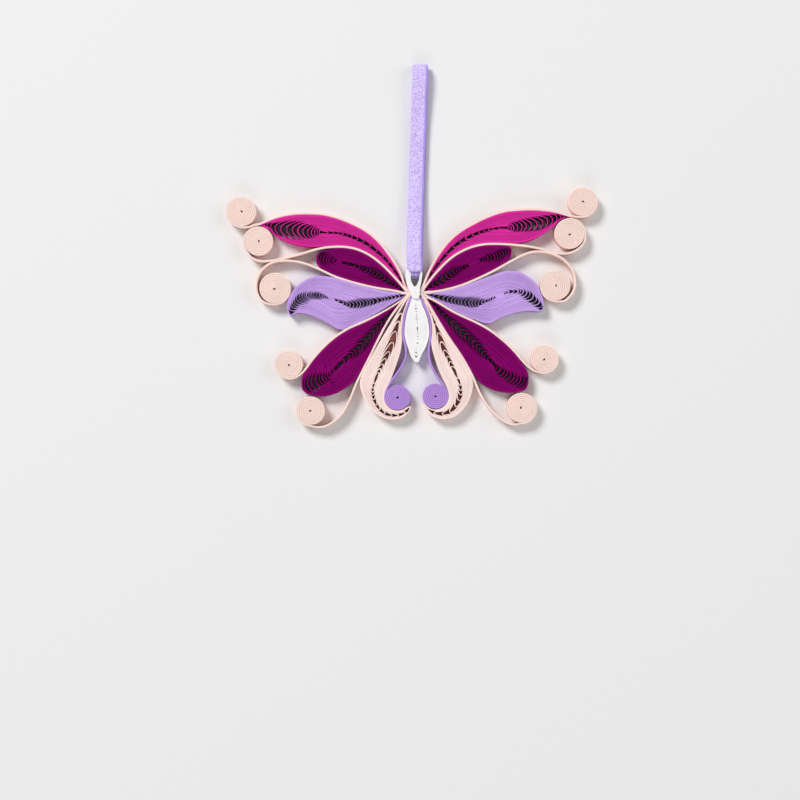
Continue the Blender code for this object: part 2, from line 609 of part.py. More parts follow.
def make_side(label, scrolls, wings, side, body):
    """All the scrolls and wings at one side of the body. Side is 1 at the left and -1 at the right."""
    ends = settle_ends(scrolls, side, body)
    for name, scroll in scrolls.items():
        make_scroll(f"{label}_{name}_scroll", scroll, ends[name], LILAC if name == "tail" else PINK)
    for name, sketch in wings.items():
        make_wing(f"{label}_{name}", sketch, scrolls, ends, side)


def make_abdomen():
    left, right = (smooth(in_metres(points)) for points in (ABDOMEN_LEFT, ABDOMEN_RIGHT))
    outline = np.vstack([thinned(left), thinned(right)[::-1][1:]])
    flat_piece("abdomen", outline, [], 0, STRIP_HEIGHT, paint("abdomen_paper", WHITE))


def make_head_loop():
    outline = in_metres(HEAD_OUTSIDE)
    eye = in_metres(EYE)
    material = paint("head_loop_paper", WHITE)
    flat_piece("head_loop", outline, [eye], HEAD_LIFT, HEAD_LIFT + STRIP_HEIGHT, material)


def make_ribbon():
    flat = RIBBON_LIES + RIBBON_THICKNESS / 2
    over = HEAD_LIFT + STRIP_HEIGHT + RIBBON_CLEARANCE + RIBBON_THICKNESS / 2
    route = np.vstack([
        in_metres(RIBBON_START), at_height(RIBBON_BACK, flat), in_metres(RIBBON_BIGHT),
        in_metres(RIBBON_FRONT), at_height(RIBBON_OVER, over), in_metres(RIBBON_END),
    ])
    line = smooth(route)
    eye = in_metres(EYE)
    gathered = np.ptp(eye[:, 0]) - 2 * RIBBON_CLEARANCE
    gathered_at = eye[:, 1].max() - RIBBON_GATHERED_IN
    wide = np.interp(line[:, 1] - gathered_at, (0, RIBBON_GATHERS_OVER), (gathered, RIBBON_WIDTH))
    sections = thinned(np.column_stack([line, wide]))
    line, half = sections[:, :3], sections[:, 3:] / 2
    run = np.gradient(line, axis=0)
    across = np.array([1.0, 0, 0]) - run[:, :1] * run / (run * run).sum(axis=1)[:, None]
    across /= np.linalg.norm(across, axis=1)[:, None]
    up = np.cross(across, run)
    up *= RIBBON_THICKNESS / 2 / np.linalg.norm(up, axis=1)[:, None]
    out = across * half

    def build(shape):
        band(shape, [[p + o + u, p + o - u, p - o - u, p - o + u] for p, o, u in zip(line, out, up)])

    add_mesh("hanging_ribbon", build, paint("ribbon_satin", RIBBON_LILAC, 0.45))


def clear_scene():
    for old in list(bpy.data.objects):
        bpy.data.objects.remove(old, do_unlink=True)


def main():
    clear_scene()
    head = smooth(in_metres([*HEAD_OUTSIDE, HEAD_OUTSIDE[0]]))
    for label, scrolls, wings, side, flank_points in (
        ("left", LEFT_SCROLLS, LEFT_WINGS, 1, ABDOMEN_LEFT),
        ("right", RIGHT_SCROLLS, RIGHT_WINGS, -1, ABDOMEN_RIGHT),
    ):
        body = [smooth(in_metres(flank_points)), head]
        make_side(label, scrolls, wings, side, body)
    make_abdomen()
    make_head_loop()
    make_ribbon()


main()
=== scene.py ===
"""Looks of the quilled paper butterfly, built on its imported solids.

The paper strips are laid again here, as fine as the paper is: the coils turn by turn, and the wings,
the abdomen and the head loop by loop. The ribbon gets its weave. The solids give the outlines.
"""

import math

import bpy
import numpy as np
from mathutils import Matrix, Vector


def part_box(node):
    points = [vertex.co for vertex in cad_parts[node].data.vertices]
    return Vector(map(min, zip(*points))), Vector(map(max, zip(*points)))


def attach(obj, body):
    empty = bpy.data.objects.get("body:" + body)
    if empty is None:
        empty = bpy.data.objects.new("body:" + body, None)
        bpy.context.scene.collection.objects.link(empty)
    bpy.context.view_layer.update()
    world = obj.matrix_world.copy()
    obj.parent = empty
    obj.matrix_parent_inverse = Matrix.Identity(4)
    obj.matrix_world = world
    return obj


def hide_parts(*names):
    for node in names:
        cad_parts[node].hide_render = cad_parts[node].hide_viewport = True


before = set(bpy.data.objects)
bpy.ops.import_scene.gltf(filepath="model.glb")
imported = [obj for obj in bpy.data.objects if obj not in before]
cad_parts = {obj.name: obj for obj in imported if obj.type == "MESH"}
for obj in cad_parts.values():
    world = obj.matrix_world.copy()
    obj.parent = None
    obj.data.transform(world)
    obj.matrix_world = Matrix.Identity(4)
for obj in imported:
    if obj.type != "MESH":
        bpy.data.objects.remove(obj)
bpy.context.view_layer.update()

bl_info = {
    "name": "Quilled butterfly",
    "version": (1, 0, 0),
    "blender": (4, 5, 0),
    "location": "View3D > Sidebar > Quilling",
    "description": "Winds and lays the paper strips and the ribbon of a quilled butterfly",
    "category": "Add Mesh",
}

MM = 0.001
WAIST = (0.0, 7.6)  # where all strips and wings meet, in millimetres
MEETING = (1.2, 8.5)  # where the scrolls' ends and the wings' roots meet beside the neck
TAILS_MEET = (1.2, 7.4)  # where the ends of the tail scrolls reach to, under the neck
PLY = 0.00024  # one paper of a strip that is glued up of several

# Each wing: its tip, and the openings between the caps of its nested loops, in a row from the root
# and another from the tip. An opening has its middle, across and up, and how far it reaches to each
# side. A cap sweeps back by a measure near the spine, and by another near the flanks. In millimetres.
# Where fine is given, a loop is that many times as thick over the spine as is common. Where broad is
# given, it may be that many times as thick along the flanks, and where loops turn together.
WINGS = {
    "left_forewing": dict(
        paper="magenta", tip=(-40.5, 25.9), root_cap=(0.5, 0.6), tip_cap=(0.45, 0.16),
        root=[
            (-3.9, 11.3, 0.24), (-5.2, 13.4, 0.27), (-6.5, 15.3, 0.25), (-7.8, 16.9, 0.24),
            (-9.4, 18.4, 0.31), (-11.1, 19.7, 0.33), (-12.8, 21.1, 0.34), (-14.4, 21.9, 0.33),
            (-15.9, 22.6, 0.33), (-17.2, 23, 0.29), (-18.4, 23.5, 0.25), (-19.6, 23.8, 0.2),
            (-20.5, 23.9, 0.16), (-22.2, 24, 0.11), (-23.8, 24, 0.15),
        ],
        tip_row=[
            (-39.2, 25.9, 0.42), (-38.4, 25.7, 0.68), (-37.4, 25.2, 1.14), (-36, 25, 1.72),
            (-34.6, 24.9, 2.03), (-33.1, 24.8, 2.29), (-31.7, 24.7, 2.39), (-30.2, 24.6, 2.39),
            (-28.9, 24.3, 1.98), (-27.8, 24.2, 1.72), (-27, 24.2, 1.46), (-26.2, 24.2, 1.14),
            (-25.6, 24.2, 0.83), (-25.1, 24.2, 0.52),
        ],
    ),
    "left_middle_wing": dict(
        paper="plum", tip=(-25.9, 17.6), root_cap=(1.2, 0.2), tip_cap=(0.5, 0.1),
        root=[
            (-4.8, 10, 0.39), (-5.7, 10.5, 0.52), (-6.6, 11, 0.62), (-7.5, 11.8, 0.78),
            (-8.5, 12.3, 0.94), (-9.5, 13, 1.09), (-10.5, 13.4, 1.2), (-11.4, 13.8, 1.2),
            (-12.2, 14.1, 1.09), (-13.1, 14.5, 0.83), (-14.1, 14.8, 0.52), (-15, 15.1, 0.34),
            (-16.4, 15.7, 0.31), (-18.3, 16, 0.23),
        ],
        tip_row=[
            (-25.4, 17.8, 0.94), (-24.6, 17.3, 1.66), (-23.9, 17.2, 1.72), (-23.2, 17.1, 1.61),
            (-22.6, 17, 1.25), (-22, 16.8, 0.88), (-21.3, 16.8, 0.57),
        ],
    ),
    "left_hindwing": dict(
        paper="lilac", tip=(-32.6, 2.2), root_cap=(0.9, 0.1), tip_cap=(0.6, 0.2), fine=0.58,
        root=[
            (-4.9, 7.5, 0.31), (-5.7, 7.3, 0.23), (-6.7, 7.2, 0.34), (-7.7, 6.9, 0.36),
            (-8.5, 6.7, 0.34), (-9.5, 6.6, 0.39), (-10.5, 6.4, 0.62), (-11.6, 6, 0.86),
            (-12.3, 6.1, 0.94), (-13.1, 5.9, 0.99), (-14, 5.8, 1.22), (-14.8, 5.7, 1.17),
            (-15.7, 5.5, 1.17), (-16.6, 5.3, 0.99), (-17.6, 5.4, 0.57), (-18.3, 5.6, 0.94),
            (-19.4, 6, 0.47), (-20.7, 6.5, 0.18),
        ],
        tip_row=[
            (-32.7, 3.1, 0.23), (-32.4, 4.2, 0.36), (-32.1, 4.9, 0.52), (-31.8, 5.6, 0.52),
            (-31.2, 5.9, 0.42), (-30.7, 6.7, 1.09), (-30, 6.8, 1.35), (-29.4, 7.1, 1.2),
            (-28.8, 7.3, 1.25), (-28.3, 7.7, 1.3), (-27.6, 7.5, 1.09), (-27.1, 7.5, 1.09),
            (-26.5, 7.7, 1.09), (-25.6, 7.4, 1.14), (-25, 7.6, 0.83), (-24.4, 7.4, 0.78),
            (-23.8, 7.2, 0.52), (-23.2, 7.1, 0.31),
        ],
    ),
    "left_lower_wing": dict(
        paper="plum", tip=(-29.7, -15.8), root_cap=(1.3, 0.25), tip_cap=(0.4, 0.05),
        root=[
            (-3.7, 6.3, 0.16), (-4.4, 5.4, 0.23), (-5.2, 4.5, 0.39), (-6.1, 3.5, 0.52),
            (-7.2, 2.4, 0.57), (-8.4, 1.2, 0.78), (-9.5, 0.1, 0.99), (-10.5, -1.1, 1.2),
            (-11.4, -2.2, 1.46), (-12.3, -3.3, 1.72), (-13.3, -4.4, 1.72), (-14.3, -5.4, 1.61),
            (-15.2, -6.4, 1.56), (-16, -7.2, 1.4), (-16.9, -7.7, 0.99), (-17.8, -8.3, 0.68),
            (-19.7, -9.7, 0.26), (-20.9, -11.2, 0.39), (-21.8, -12.1, 0.42),
        ],
        tip_row=[
            (-28.8, -15.5, 1.82), (-27.9, -15.3, 2.24), (-26.8, -15, 2.44), (-25.7, -14.4, 1.46),
            (-24.9, -14.1, 1.3), (-24.1, -13.9, 1.35), (-23.3, -13.5, 1.2), (-22.6, -12.9, 0.94),
            (-22.2, -12.5, 0.62),
        ],
    ),
    "left_tail_wing": dict(
        paper="pale_pink", tip=(-1.5, -20.8), root_cap=(1.5, 1.2), tip_cap=(0.5, 0.3),
        root=[
            (-4.2, 2.1, 0.21), (-5.2, -0.1, 0.44), (-5.8, -3.1, 0.99), (-6.8, -5.7, 1.2),
            (-7.8, -7.8, 1.09), (-8.5, -9.4, 0.94), (-9.2, -10.7, 0.78), (-9.8, -11.8, 0.57),
            (-10.1, -12.8, 0.36),
        ],
        tip_row=[
            (-2.1, -22, 0.12), (-3.8, -23, 0.16), (-5.6, -23.5, 0.17), (-7, -23.4, 0.22),
            (-8.9, -22.5, 0.26), (-9.9, -21.6, 0.2), (-10.7, -20.1, 0.12), (-11.2, -18.8, 0.22),
            (-11.3, -17.9, 0.2), (-11.4, -17, 0.22), (-11.4, -16.2, 0.16), (-10.7, -14.6, 0.22),
        ],
    ),
    "right_forewing": dict(
        paper="magenta", tip=(40, 28.2), root_cap=(0.5, 0.6), tip_cap=(0.45, 0.16),
        root=[
            (3.4, 12.6, 0.29), (5, 15, 0.24), (6.8, 17.3, 0.25), (8.5, 19.2, 0.29),
            (10.4, 21, 0.33), (11.9, 22, 0.31), (13.6, 22.8, 0.34), (15.3, 23.7, 0.33),
            (16.8, 24.2, 0.27), (18, 24.6, 0.24), (19.1, 24.8, 0.18), (20, 25, 0.22),
            (22.2, 25.3, 0.16),
        ],
        tip_row=[
            (38.1, 28.3, 0.21), (37.1, 28.1, 0.47), (35.9, 27.8, 0.83), (34.7, 27.4, 1.2),
            (33.5, 26.9, 1.46), (32.2, 26.5, 1.66), (30.7, 26.3, 1.77), (29.2, 26.1, 1.66),
            (27.9, 25.9, 1.56), (26.8, 25.7, 1.46), (25.7, 25.5, 1.25), (25, 25.4, 0.99),
            (24.3, 25.3, 0.73), (23.7, 25.2, 0.47),
        ],
    ),
    "right_middle_wing": dict(
        paper="plum", tip=(24.6, 19.2), root_cap=(1.2, 0.2), tip_cap=(0.5, 0.1),
        root=[
            (3.4, 10, 0.31), (4.6, 10.6, 0.62), (5.8, 11.3, 0.83), (6.9, 12.1, 1.04),
            (8, 12.8, 1.09), (8.9, 13.4, 1.2), (9.8, 13.9, 1.25), (10.6, 14.3, 1.09),
            (11.4, 14.6, 0.94), (12, 14.9, 0.68), (13.1, 15.3, 0.21),
        ],
        tip_row=[
            (23.8, 19.2, 0.78), (23.1, 18.7, 1.2), (22.3, 18.3, 1.35), (21.5, 18, 1.3),
            (20.8, 17.8, 1.25), (20, 17.6, 1.14), (19.1, 17.6, 0.83), (18.3, 17.3, 0.73),
            (17.6, 17.2, 0.52), (16.9, 17, 0.31),
        ],
    ),
    "right_hindwing": dict(
        paper="lilac", tip=(32.3, 3.4), root_cap=(0.9, 0.1), tip_cap=(0.6, 0.2), fine=0.58,
        root=[
            (2.7, 8, 0.21), (3.6, 7.8, 0.31), (4.9, 7.5, 0.39), (6.3, 7.2, 0.62), (7.4, 6.9, 0.78),
            (8.5, 6.8, 0.94), (9.5, 6.5, 0.88), (10.3, 6.4, 1.04), (11.2, 6.3, 1.04),
            (12, 6.2, 1.09), (13.1, 6.1, 1.3), (14, 6, 1.3), (14.7, 5.9, 1.4), (15.7, 5.9, 1.46),
            (16.5, 5.8, 1.2), (17.2, 6.1, 0.52), (18.1, 6.3, 0.34), (18.7, 6.6, 0.34),
            (19.4, 6.9, 0.42), (20, 7.1, 0.26),
        ],
        tip_row=[
            (32.6, 4.2, 0.26), (31.9, 5, 0.73), (31.2, 5.7, 0.99), (30.5, 6.3, 0.68),
            (29.8, 7.5, 1.2), (28.9, 7.5, 0.94), (28.2, 8.2, 0.78), (27.4, 8.5, 0.68),
            (26.8, 8.6, 0.52), (26.2, 8.6, 0.42), (24.5, 8.7, 0.23), (23.7, 8.4, 0.18),
            (23.1, 8.1, 0.21),
        ],
    ),
    "right_lower_wing": dict(
        paper="plum", tip=(29, -15.8), root_cap=(1.3, 0.25), tip_cap=(0.4, 0.05),
        root=[
            (3.5, 6.6, 0.16), (4.3, 5.6, 0.29), (5.4, 4.4, 0.44), (6.3, 3.5, 0.52),
            (7.3, 2.6, 0.52), (8.4, 1.4, 0.78), (9.6, 0.3, 1.09), (10.8, -0.9, 1.4),
            (11.9, -2, 1.61), (13, -2.9, 1.61), (14, -3.8, 1.61), (15, -4.8, 1.56),
            (15.9, -5.7, 1.51), (16.7, -6.6, 1.35), (17.3, -7.4, 1.09), (18, -8.2, 0.78),
            (19.2, -8.9, 0.23), (19.9, -9.9, 0.21),
        ],
        tip_row=[
            (28.1, -15.1, 1.87), (27.3, -15, 1.4), (26.4, -14.8, 1.35), (25.6, -14.4, 1.35),
            (24.7, -13.9, 1.4), (23.8, -13.3, 1.3), (23, -12.9, 1.09), (22.1, -12.4, 0.88),
            (21.3, -11.6, 0.94),
        ],
    ),
    "right_tail_wing": dict(
        paper="pale_pink", tip=(1.9, -20.4), root_cap=(1.5, 1.2), tip_cap=(0.5, 0.3),
        root=[
            (3, 4.6, 0.23), (4.3, 1.8, 0.26), (5.4, -0.7, 0.47), (6.2, -3.1, 1.04),
            (6.9, -5.4, 1.14), (7.7, -7.2, 1.04), (8.5, -8.7, 0.94), (9.1, -10, 0.83),
            (9.6, -11.4, 0.62),
        ],
        tip_row=[
            (2.1, -20.6, 0.2), (3.7, -22.2, 0.26), (5.7, -23.1, 0.27), (7.6, -22.9, 0.32),
            (9.5, -21.9, 0.33), (10.6, -20.4, 0.35), (11.3, -18.8, 0.39), (11.5, -17.5, 0.37),
            (11.7, -16.7, 0.17), (11.2, -14.8, 0.27), (10.3, -13.3, 0.26),
        ],
    ),
}
ABDOMEN = dict(
    paper="white", tip=(-0.1, -9.9), root_cap=(0.5, 0), tip_cap=(0.9, 0), broad=8.0, fine=3.8,
    root=[
        (-0.3, 6.5, 0.05), (-0.3, 5.9, 0.02), (-0.2, 5.2, 0.02), (-0.2, 4.5, 0.04), (-0.1, 3.8, 0.04),
        (-0.1, 3.1, 0.02), (0.0, 2.5, 0.02), (0.0, 1.9, 0.02), (0.1, 1.2, 0.04), (0.1, 0.6, 0.02),
        (0.2, 0.0, 0.02), (0.2, -0.6, 0.02),
    ],
    tip_row=[
        (0, -8.4, 0.08), (0, -7.4, 0.06), (0.1, -6.7, 0.04), (0.2, -6.0, 0.03), (0.3, -5.3, 0.04),
        (0.4, -4.6, 0.08), (0.4, -3.9, 0.08), (0.4, -3.2, 0.08), (0.4, -2.5, 0.03), (0.3, -1.9, 0.02),
        (0.3, -1.4, 0.02),
    ],
)

# The ribbon's route in millimetres: out of the eye under the head loop, along the table to the
# bight, and back over itself and over the head loop into the eye
RIBBON_ROUTE = [
    (-0.4, 12.6, 1.9), (-0.4, 12.9, 0.9), (-0.4, 13.8, 0.25), (-0.4, 15.4, 0.145), (-0.4, 18.0, 0.145),
    (-0.2, 24.0, 0.145), (0.1, 33.0, 0.145), (0.4, 43.0, 0.145), (0.7, 53.0, 0.145), (0.9, 61.0, 0.145),
    (1.0, 65.5, 0.2), (1.0, 67.4, 0.6), (1.0, 68.0, 1.5), (1.0, 67.4, 2.5), (1.0, 65.5, 2.9),
    (0.8, 61.0, 2.6), (0.6, 53.0, 2.0), (0.2, 43.0, 1.7), (-0.1, 33.0, 1.9), (-0.4, 24.0, 2.9),
    (-0.5, 18.0, 4.225), (-0.4, 15.6, 4.225), (-0.4, 13.9, 4.225), (-0.4, 12.9, 3.7), (-0.4, 12.3, 2.8),
]
CREASES = ((13.6, 1.0), (12.6, 0.9))  # height in the picture at which it is creased, and how deeply, which also sets how dark its painted shade is


# Settings

def length(name, description, default):
    return bpy.props.FloatProperty(
        name=name, description=description, default=default, min=0, unit="LENGTH", precision=5)


def colour(name, description, default):
    return bpy.props.FloatVectorProperty(
        name=name, description=description, default=default, min=0, max=1, subtype="COLOR")


class PaperSizes(bpy.types.PropertyGroup):
    strip_height: length("Strip height", "How tall the strips stand", 0.0032)
    rim_paper: length("Scroll strip", "Thickness of a scroll's strip, glued double", 0.00048)
    loose_paper: length("Loose end", "Thickness of a scroll's end along the wings", 0.00058)
    waist_paper: length("End at the waist", "Thickness of that end where all are glued up", 0.0011)
    turning: length("Turning bundle", "Thickness at most of loops that turn together", 0.00034)
    coil_pitch: length("Coil pitch", "From one turn of a coil to the next", 0.0005)
    coil_core: length("Coil core", "Radius of the hole that the tool left", 0.00002)
    wing_paper: length("Wing strip", "Thickness of one loop where it turns over the spine", 0.00021)
    packed_paper: length("Packed strip", "What a loop takes up at least, pressed flat", 0.00006)
    widest_loop: length("Widest loop", "Thickness that a loop has at most", 0.00045)
    edge: length("Edge", "How far the cut edges are rubbed round", 0.00005)
    unevenness: length("Unevenness", "How much higher one strip stands than another", 0.00006)
    wobble: length("Wobble", "How far a strip strays from its line", 0.00005)
    seed: bpy.props.IntProperty(name="Seed", description="Which handwork it is", default=7)


class PaperColours(bpy.types.PropertyGroup):
    pink: colour("Pink", "Paper of the scrolls", (0.97, 0.75, 0.68))
    pale_pink: colour("Pale pink", "Paper of the tail wings", (1.0, 0.785, 0.745))
    magenta: colour("Magenta", "Paper of the forewings", (0.72, 0.03, 0.345))
    plum: colour("Plum", "Paper of the middle and lower wings", (0.225, 0.002, 0.13))
    lilac: colour("Lilac", "Paper of the hindwings", (0.56, 0.355, 0.79))
    violet: colour("Violet", "Paper of the tail scrolls, a little deeper", (0.47, 0.27, 0.7))
    white: colour("White", "Paper of the body", (0.97, 0.95, 0.96))


class RibbonSettings(bpy.types.PropertyGroup):
    width: length("Width", "Across the ribbon", 0.004)
    thickness: length("Thickness", "Of the satin", 0.00025)
    gathered: length("Gathered width", "Where it goes into the eye", 0.0022)
    gathers_from: length("Gathers from", "Height in the picture at which it starts to gather", 0.0145)
    gathers_to: length("Gathers to", "Height in the picture at which it is gathered", 0.0137)
    rib: length("Rib", "From one rib of the weave to the next", 0.00042)
    colour: colour("Colour", "Of the satin", (0.68, 0.56, 0.93))


class StageSettings(bpy.types.PropertyGroup):
    distance: length("Camera distance", "From the strips' upper edges", 0.4)
    frame_width: length("Frame width", "What the picture shows at the strips' upper edges", 0.208)
    centre_x: bpy.props.FloatProperty(
        name="Centre across", description="What the camera looks at", default=-0.00429, unit="LENGTH")
    centre_y: bpy.props.FloatProperty(
        name="Centre up", description="What the camera looks at", default=-0.0195, unit="LENGTH")
    floor: colour("Floor", "Pale and matt", (0.86, 0.86, 0.86))
    key: bpy.props.FloatProperty(
        name="Key light", description="The lamp at the upper left", default=32.6, unit="POWER")
    fill: bpy.props.FloatProperty(
        name="Fill light", description="The two softer lamps", default=11.15, unit="POWER")
    sky: bpy.props.FloatProperty(
        name="Sky", description="Strength of the light from all sides", default=0.19)


# Shader and geometry graphs

class Wire:
    """A node's output in an expression. Each operator adds the Math node that it stands for."""

    def __init__(self, graph, socket):
        self.graph = graph
        self.socket = socket

    def math(self, operation, *values, clamp=False):
        settings = {"operation": operation, "use_clamp": clamp}
        return self.graph.wire("ShaderNodeMath", settings, *values)

    def __add__(self, other):
        return self.math("ADD", self, other)

    def __radd__(self, other):
        return self.math("ADD", other, self)

    def __sub__(self, other):
        return self.math("SUBTRACT", self, other)

    def __rsub__(self, other):
        return self.math("SUBTRACT", other, self)

    def __mul__(self, other):
        return self.math("MULTIPLY", self, other)

    def __rmul__(self, other):
        return self.math("MULTIPLY", other, self)

    def __truediv__(self, other):
        return self.math("DIVIDE", self, other)

    def __rtruediv__(self, other):
        return self.math("DIVIDE", other, self)

    def __abs__(self):
        return self.math("ABSOLUTE", self)

    def __gt__(self, other):
        return self.math("GREATER_THAN", self, other)

    def clamped(self):
        return self.math("ADD", self, 0.0, clamp=True)

    def wave(self):
        return self.math("SINE", self)

    def rounded(self):
        return self.math("ROUND", self)

    def whole(self):
        return self.math("FLOOR", self)

    def rest(self):
        return self.math("FRACT", self)

    def at_least(self, low):
        return self.math("MAXIMUM", self, low)

    def rise(self, low, high):
        """From 0 at low to 1 at high, eased."""
        settings = {"interpolation_type": "SMOOTHSTEP"}
        return self.graph.wire("ShaderNodeMapRange", settings, self, low, high, 0.0, 1.0)


class Graph:
    """A node tree that is being written."""

    def __init__(self, tree):
        self.tree = tree

    def add(self, kind, settings, *values, **named):
        """One node: its settings first, then its inputs in order, and others by name."""
        node = self.tree.nodes.new(kind)
        for key, value in settings.items():
            setattr(node, key, value)
        open_inputs = [socket for socket in node.inputs if socket.enabled]
        for socket, value in zip(open_inputs, values):
            self.feed(socket, value)
        for name, value in named.items():
            wanted = name.replace("_", " ").lower()
            self.feed(next(s for s in open_inputs if s.name.lower() == wanted), value)
        return node

    def feed(self, socket, value):
        if isinstance(value, Wire):
            self.tree.links.new(value.socket, socket)
        elif value is not None:
            socket.default_value = value

    def out(self, node, name=None):
        found = [s for s in node.outputs if s.enabled and (name is None or s.name == name)]
        return Wire(self, found[0])

    def wire(self, kind, settings, *values, **named):
        return self.out(self.add(kind, settings, *values, **named))


# Papers and satin

STRIP_TOP = 0.0032  # the strips' upper edges
CUT_FROM = 0.0029  # above this a strip shows its cut edge
PAINTED_SHADE_BELOW = 0.0021  # and below this the painted shade between the loops is full


def attribute(graph, name):
    node = graph.add("ShaderNodeAttribute", {"attribute_name": name})
    return graph.out(node, "Fac")


def new_shader(name):
    material = bpy.data.materials.new(name)
    material.use_nodes = True
    material.node_tree.nodes.clear()
    graph = Graph(material.node_tree)
    shader = graph.add("ShaderNodeBsdfPrincipled", {})
    graph.add("ShaderNodeOutputMaterial", {}, graph.out(shader))
    return material, graph, shader


def fine_noise(graph, place, scale, detail=2.0):
    node = graph.add("ShaderNodeTexNoise", {}, place, Scale=scale, Detail=detail)
    return graph.out(node, "Fac")


def mixed(graph, share, shade, other):
    return graph.wire("ShaderNodeMix", {"data_type": "RGBA"}, share, shade, other)


def scaled(graph, shade, light):
    return graph.wire("ShaderNodeVectorMath", {"operation": "SCALE"}, shade, Scale=light)


def paper_material(name, shade, cut_shade, streak, painted_deep_shade):
    """Dyed paper on edge: each strip a shade of its own, a rubbed cut edge, and painted shade deep
    between the loops.
    """
    material, graph, shader = new_shader(name)
    place = graph.out(graph.add("ShaderNodeTexCoord", {}), "Object")
    height = graph.out(graph.add("ShaderNodeSeparateXYZ", {}, place), "Z")
    plies = (attribute(graph, "thick") / PLY).rounded().at_least(1.0)
    layer = (attribute(graph, "side") * 0.499 + 0.5) * plies
    count = attribute(graph, "strip") * 7.3 + layer.whole()
    own = graph.out(graph.add("ShaderNodeTexWhiteNoise", {"noise_dimensions": "1D"}, count), "Value")
    fibre = fine_noise(graph, place, 7000.0, 3.0)
    cloud = fine_noise(graph, place, 260.0)
    edge = height.rise(CUT_FROM, STRIP_TOP)
    ply = abs(layer.rest() - 0.5).rise(0.34, 0.5)
    light = 1.0 + (own - 0.5) * streak + (fibre - 0.5) * 0.28 + (cloud - 0.5) * 0.16 - ply * edge * 0.2
    base = mixed(graph, edge * (0.35 + fibre * 0.6), (*shade, 1), (*cut_shade, 1))
    # Painted shade: the strips' sides are drawn towards the painted deep shade, as dark hairlines
    # between loops and between a coil's turns
    painted_side_shade = abs(attribute(graph, "side")).rise(0.8, 1.0) * 0.3
    # A scroll's one strip and a wing's outermost loop are seen from outside, and get no painted shade
    # low down
    gets_painted_shade = attribute(graph, "strip") > 1.5
    # Painted shade: the inner walls darken downwards, fully low down, and so do the strips' sides
    painted_shade = (gets_painted_shade * (1.0 - height.rise(PAINTED_SHADE_BELOW, STRIP_TOP))).at_least(painted_side_shade)
    base = mixed(graph, painted_shade, base, (*painted_deep_shade, 1))
    graph.feed(shader.inputs["Base Color"], scaled(graph, base, light))
    graph.feed(shader.inputs["Roughness"], 0.74 + fibre * 0.2)
    bump = graph.wire(
        "ShaderNodeBump", {}, Strength=0.5, Distance=0.00003, Height=fibre - ply * 0.8)
    graph.feed(shader.inputs["Normal"], bump)
    shader.inputs["Specular IOR Level"].default_value = 0.03
    material.diffuse_color = (*shade, 1)
    return material


def satin_material(name, shade, rib):
    """Woven ribbon: ribs across it, threads along it, deeper flecks, darker edges with a painted shade
    along the right one, and painted shade in its creases.
    """
    material, graph, shader = new_shader(name)
    across = attribute(graph, "across")
    run = attribute(graph, "run")
    place = graph.out(graph.add("ShaderNodeTexCoord", {}), "Object")
    strands = graph.wire("ShaderNodeCombineXYZ", {}, across, run * 0.12, 0.0)
    thread = fine_noise(graph, strands, 5200.0, 2.0)
    slub = fine_noise(graph, place, 2400.0, 3.0)
    fleck = (1.0 - slub.rise(0.38, 0.54)) * 0.5
    cloud = fine_noise(graph, place, 320.0)
    # how strongly creased, which sets the painted shade in the creases
    crease = attribute(graph, "crease")
    ribs = (run * (2 * math.pi / rib) + thread * 2.2).wave() * 0.5 + 0.5
    # Darker towards both edges; along the right edge a painted shade, as of the lower layer seen in
    # shadow beside the upper one
    darker_edges = (abs(across).rise(0.0017, 0.0019) * 0.35).at_least(across.rise(0.0012, 0.0016) * 0.8)
    light = 0.96 + ribs * 0.10 + (thread - 0.5) * 0.5 + (slub - 0.5) * 0.6 + (cloud - 0.5) * 0.1
    dark = (shade[0] * 0.56, shade[1] * 0.44, shade[2] * 0.9, 1)
    base = mixed(graph, darker_edges.at_least(crease).at_least(fleck), (*shade, 1), dark)
    # Painted shade: darker and more violet in the creases
    light = light * (1.0 - crease * 0.55)
    graph.feed(shader.inputs["Base Color"], scaled(graph, base, light))
    graph.feed(shader.inputs["Roughness"], 0.42 + slub * 0.2)
    bump = graph.wire("ShaderNodeBump", {}, Strength=0.7, Distance=0.00004, Height=ribs + thread)
    graph.feed(shader.inputs["Normal"], bump)
    shader.inputs["Sheen Weight"].default_value = 0.25
    material.diffuse_color = (*shade, 1)
    return material


def floor_material(shade):
    material, graph, shader = new_shader("pale_floor")
    place = graph.out(graph.add("ShaderNodeTexCoord", {}), "Object")
    grain = fine_noise(graph, place, 900.0, 2.0)
    graph.feed(shader.inputs["Base Color"], scaled(graph, shade, 0.99 + grain * 0.02))
    shader.inputs["Roughness"].default_value = 0.9
    shader.inputs["Specular IOR Level"].default_value = 0.1
    return material


# How much paler each paper's cut edge is, how far its plies differ, and the painted shade deep between
# its loops; for the pale pink this is also a painted reddish light, as if bounced between its walls
PAPERS = {
    "pink": (1.02, 0.2, (0.8, 0.4, 0.33)), "pale_pink": (1.02, 0.22, (1.0, 0.44, 0.35)),
    "magenta": (1.08, 0.5, (0.05, 0.004, 0.025)), "plum": (1.15, 0.6, (0.012, 0.004, 0.01)),
    "lilac": (1.05, 0.3, (0.008, 0.005, 0.012)), "violet": (1.05, 0.35, (0.3, 0.15, 0.5)),
    "white": (1.02, 0.08, (0.97, 0.96, 0.96)),
}


def paper_for(name):
    """The material of a paper colour, made once."""
    full = name + "_paper_strips"
    shade = tuple(getattr(bpy.context.scene.butterfly_colours, name))
    # the third value is the painted shade deep between the loops
    paler, streak, deep = PAPERS[name]
    cut = tuple(min(1.0, value * paler) for value in shade)
    return bpy.data.materials.get(full) or paper_material(full, shade, cut, streak, deep)


# Lines

FIRST_POINTS = 8  # of a strip's line, from which its coil is found
OFF_THE_COIL = 0.00003  # a point this far off the coil belongs to the loose end


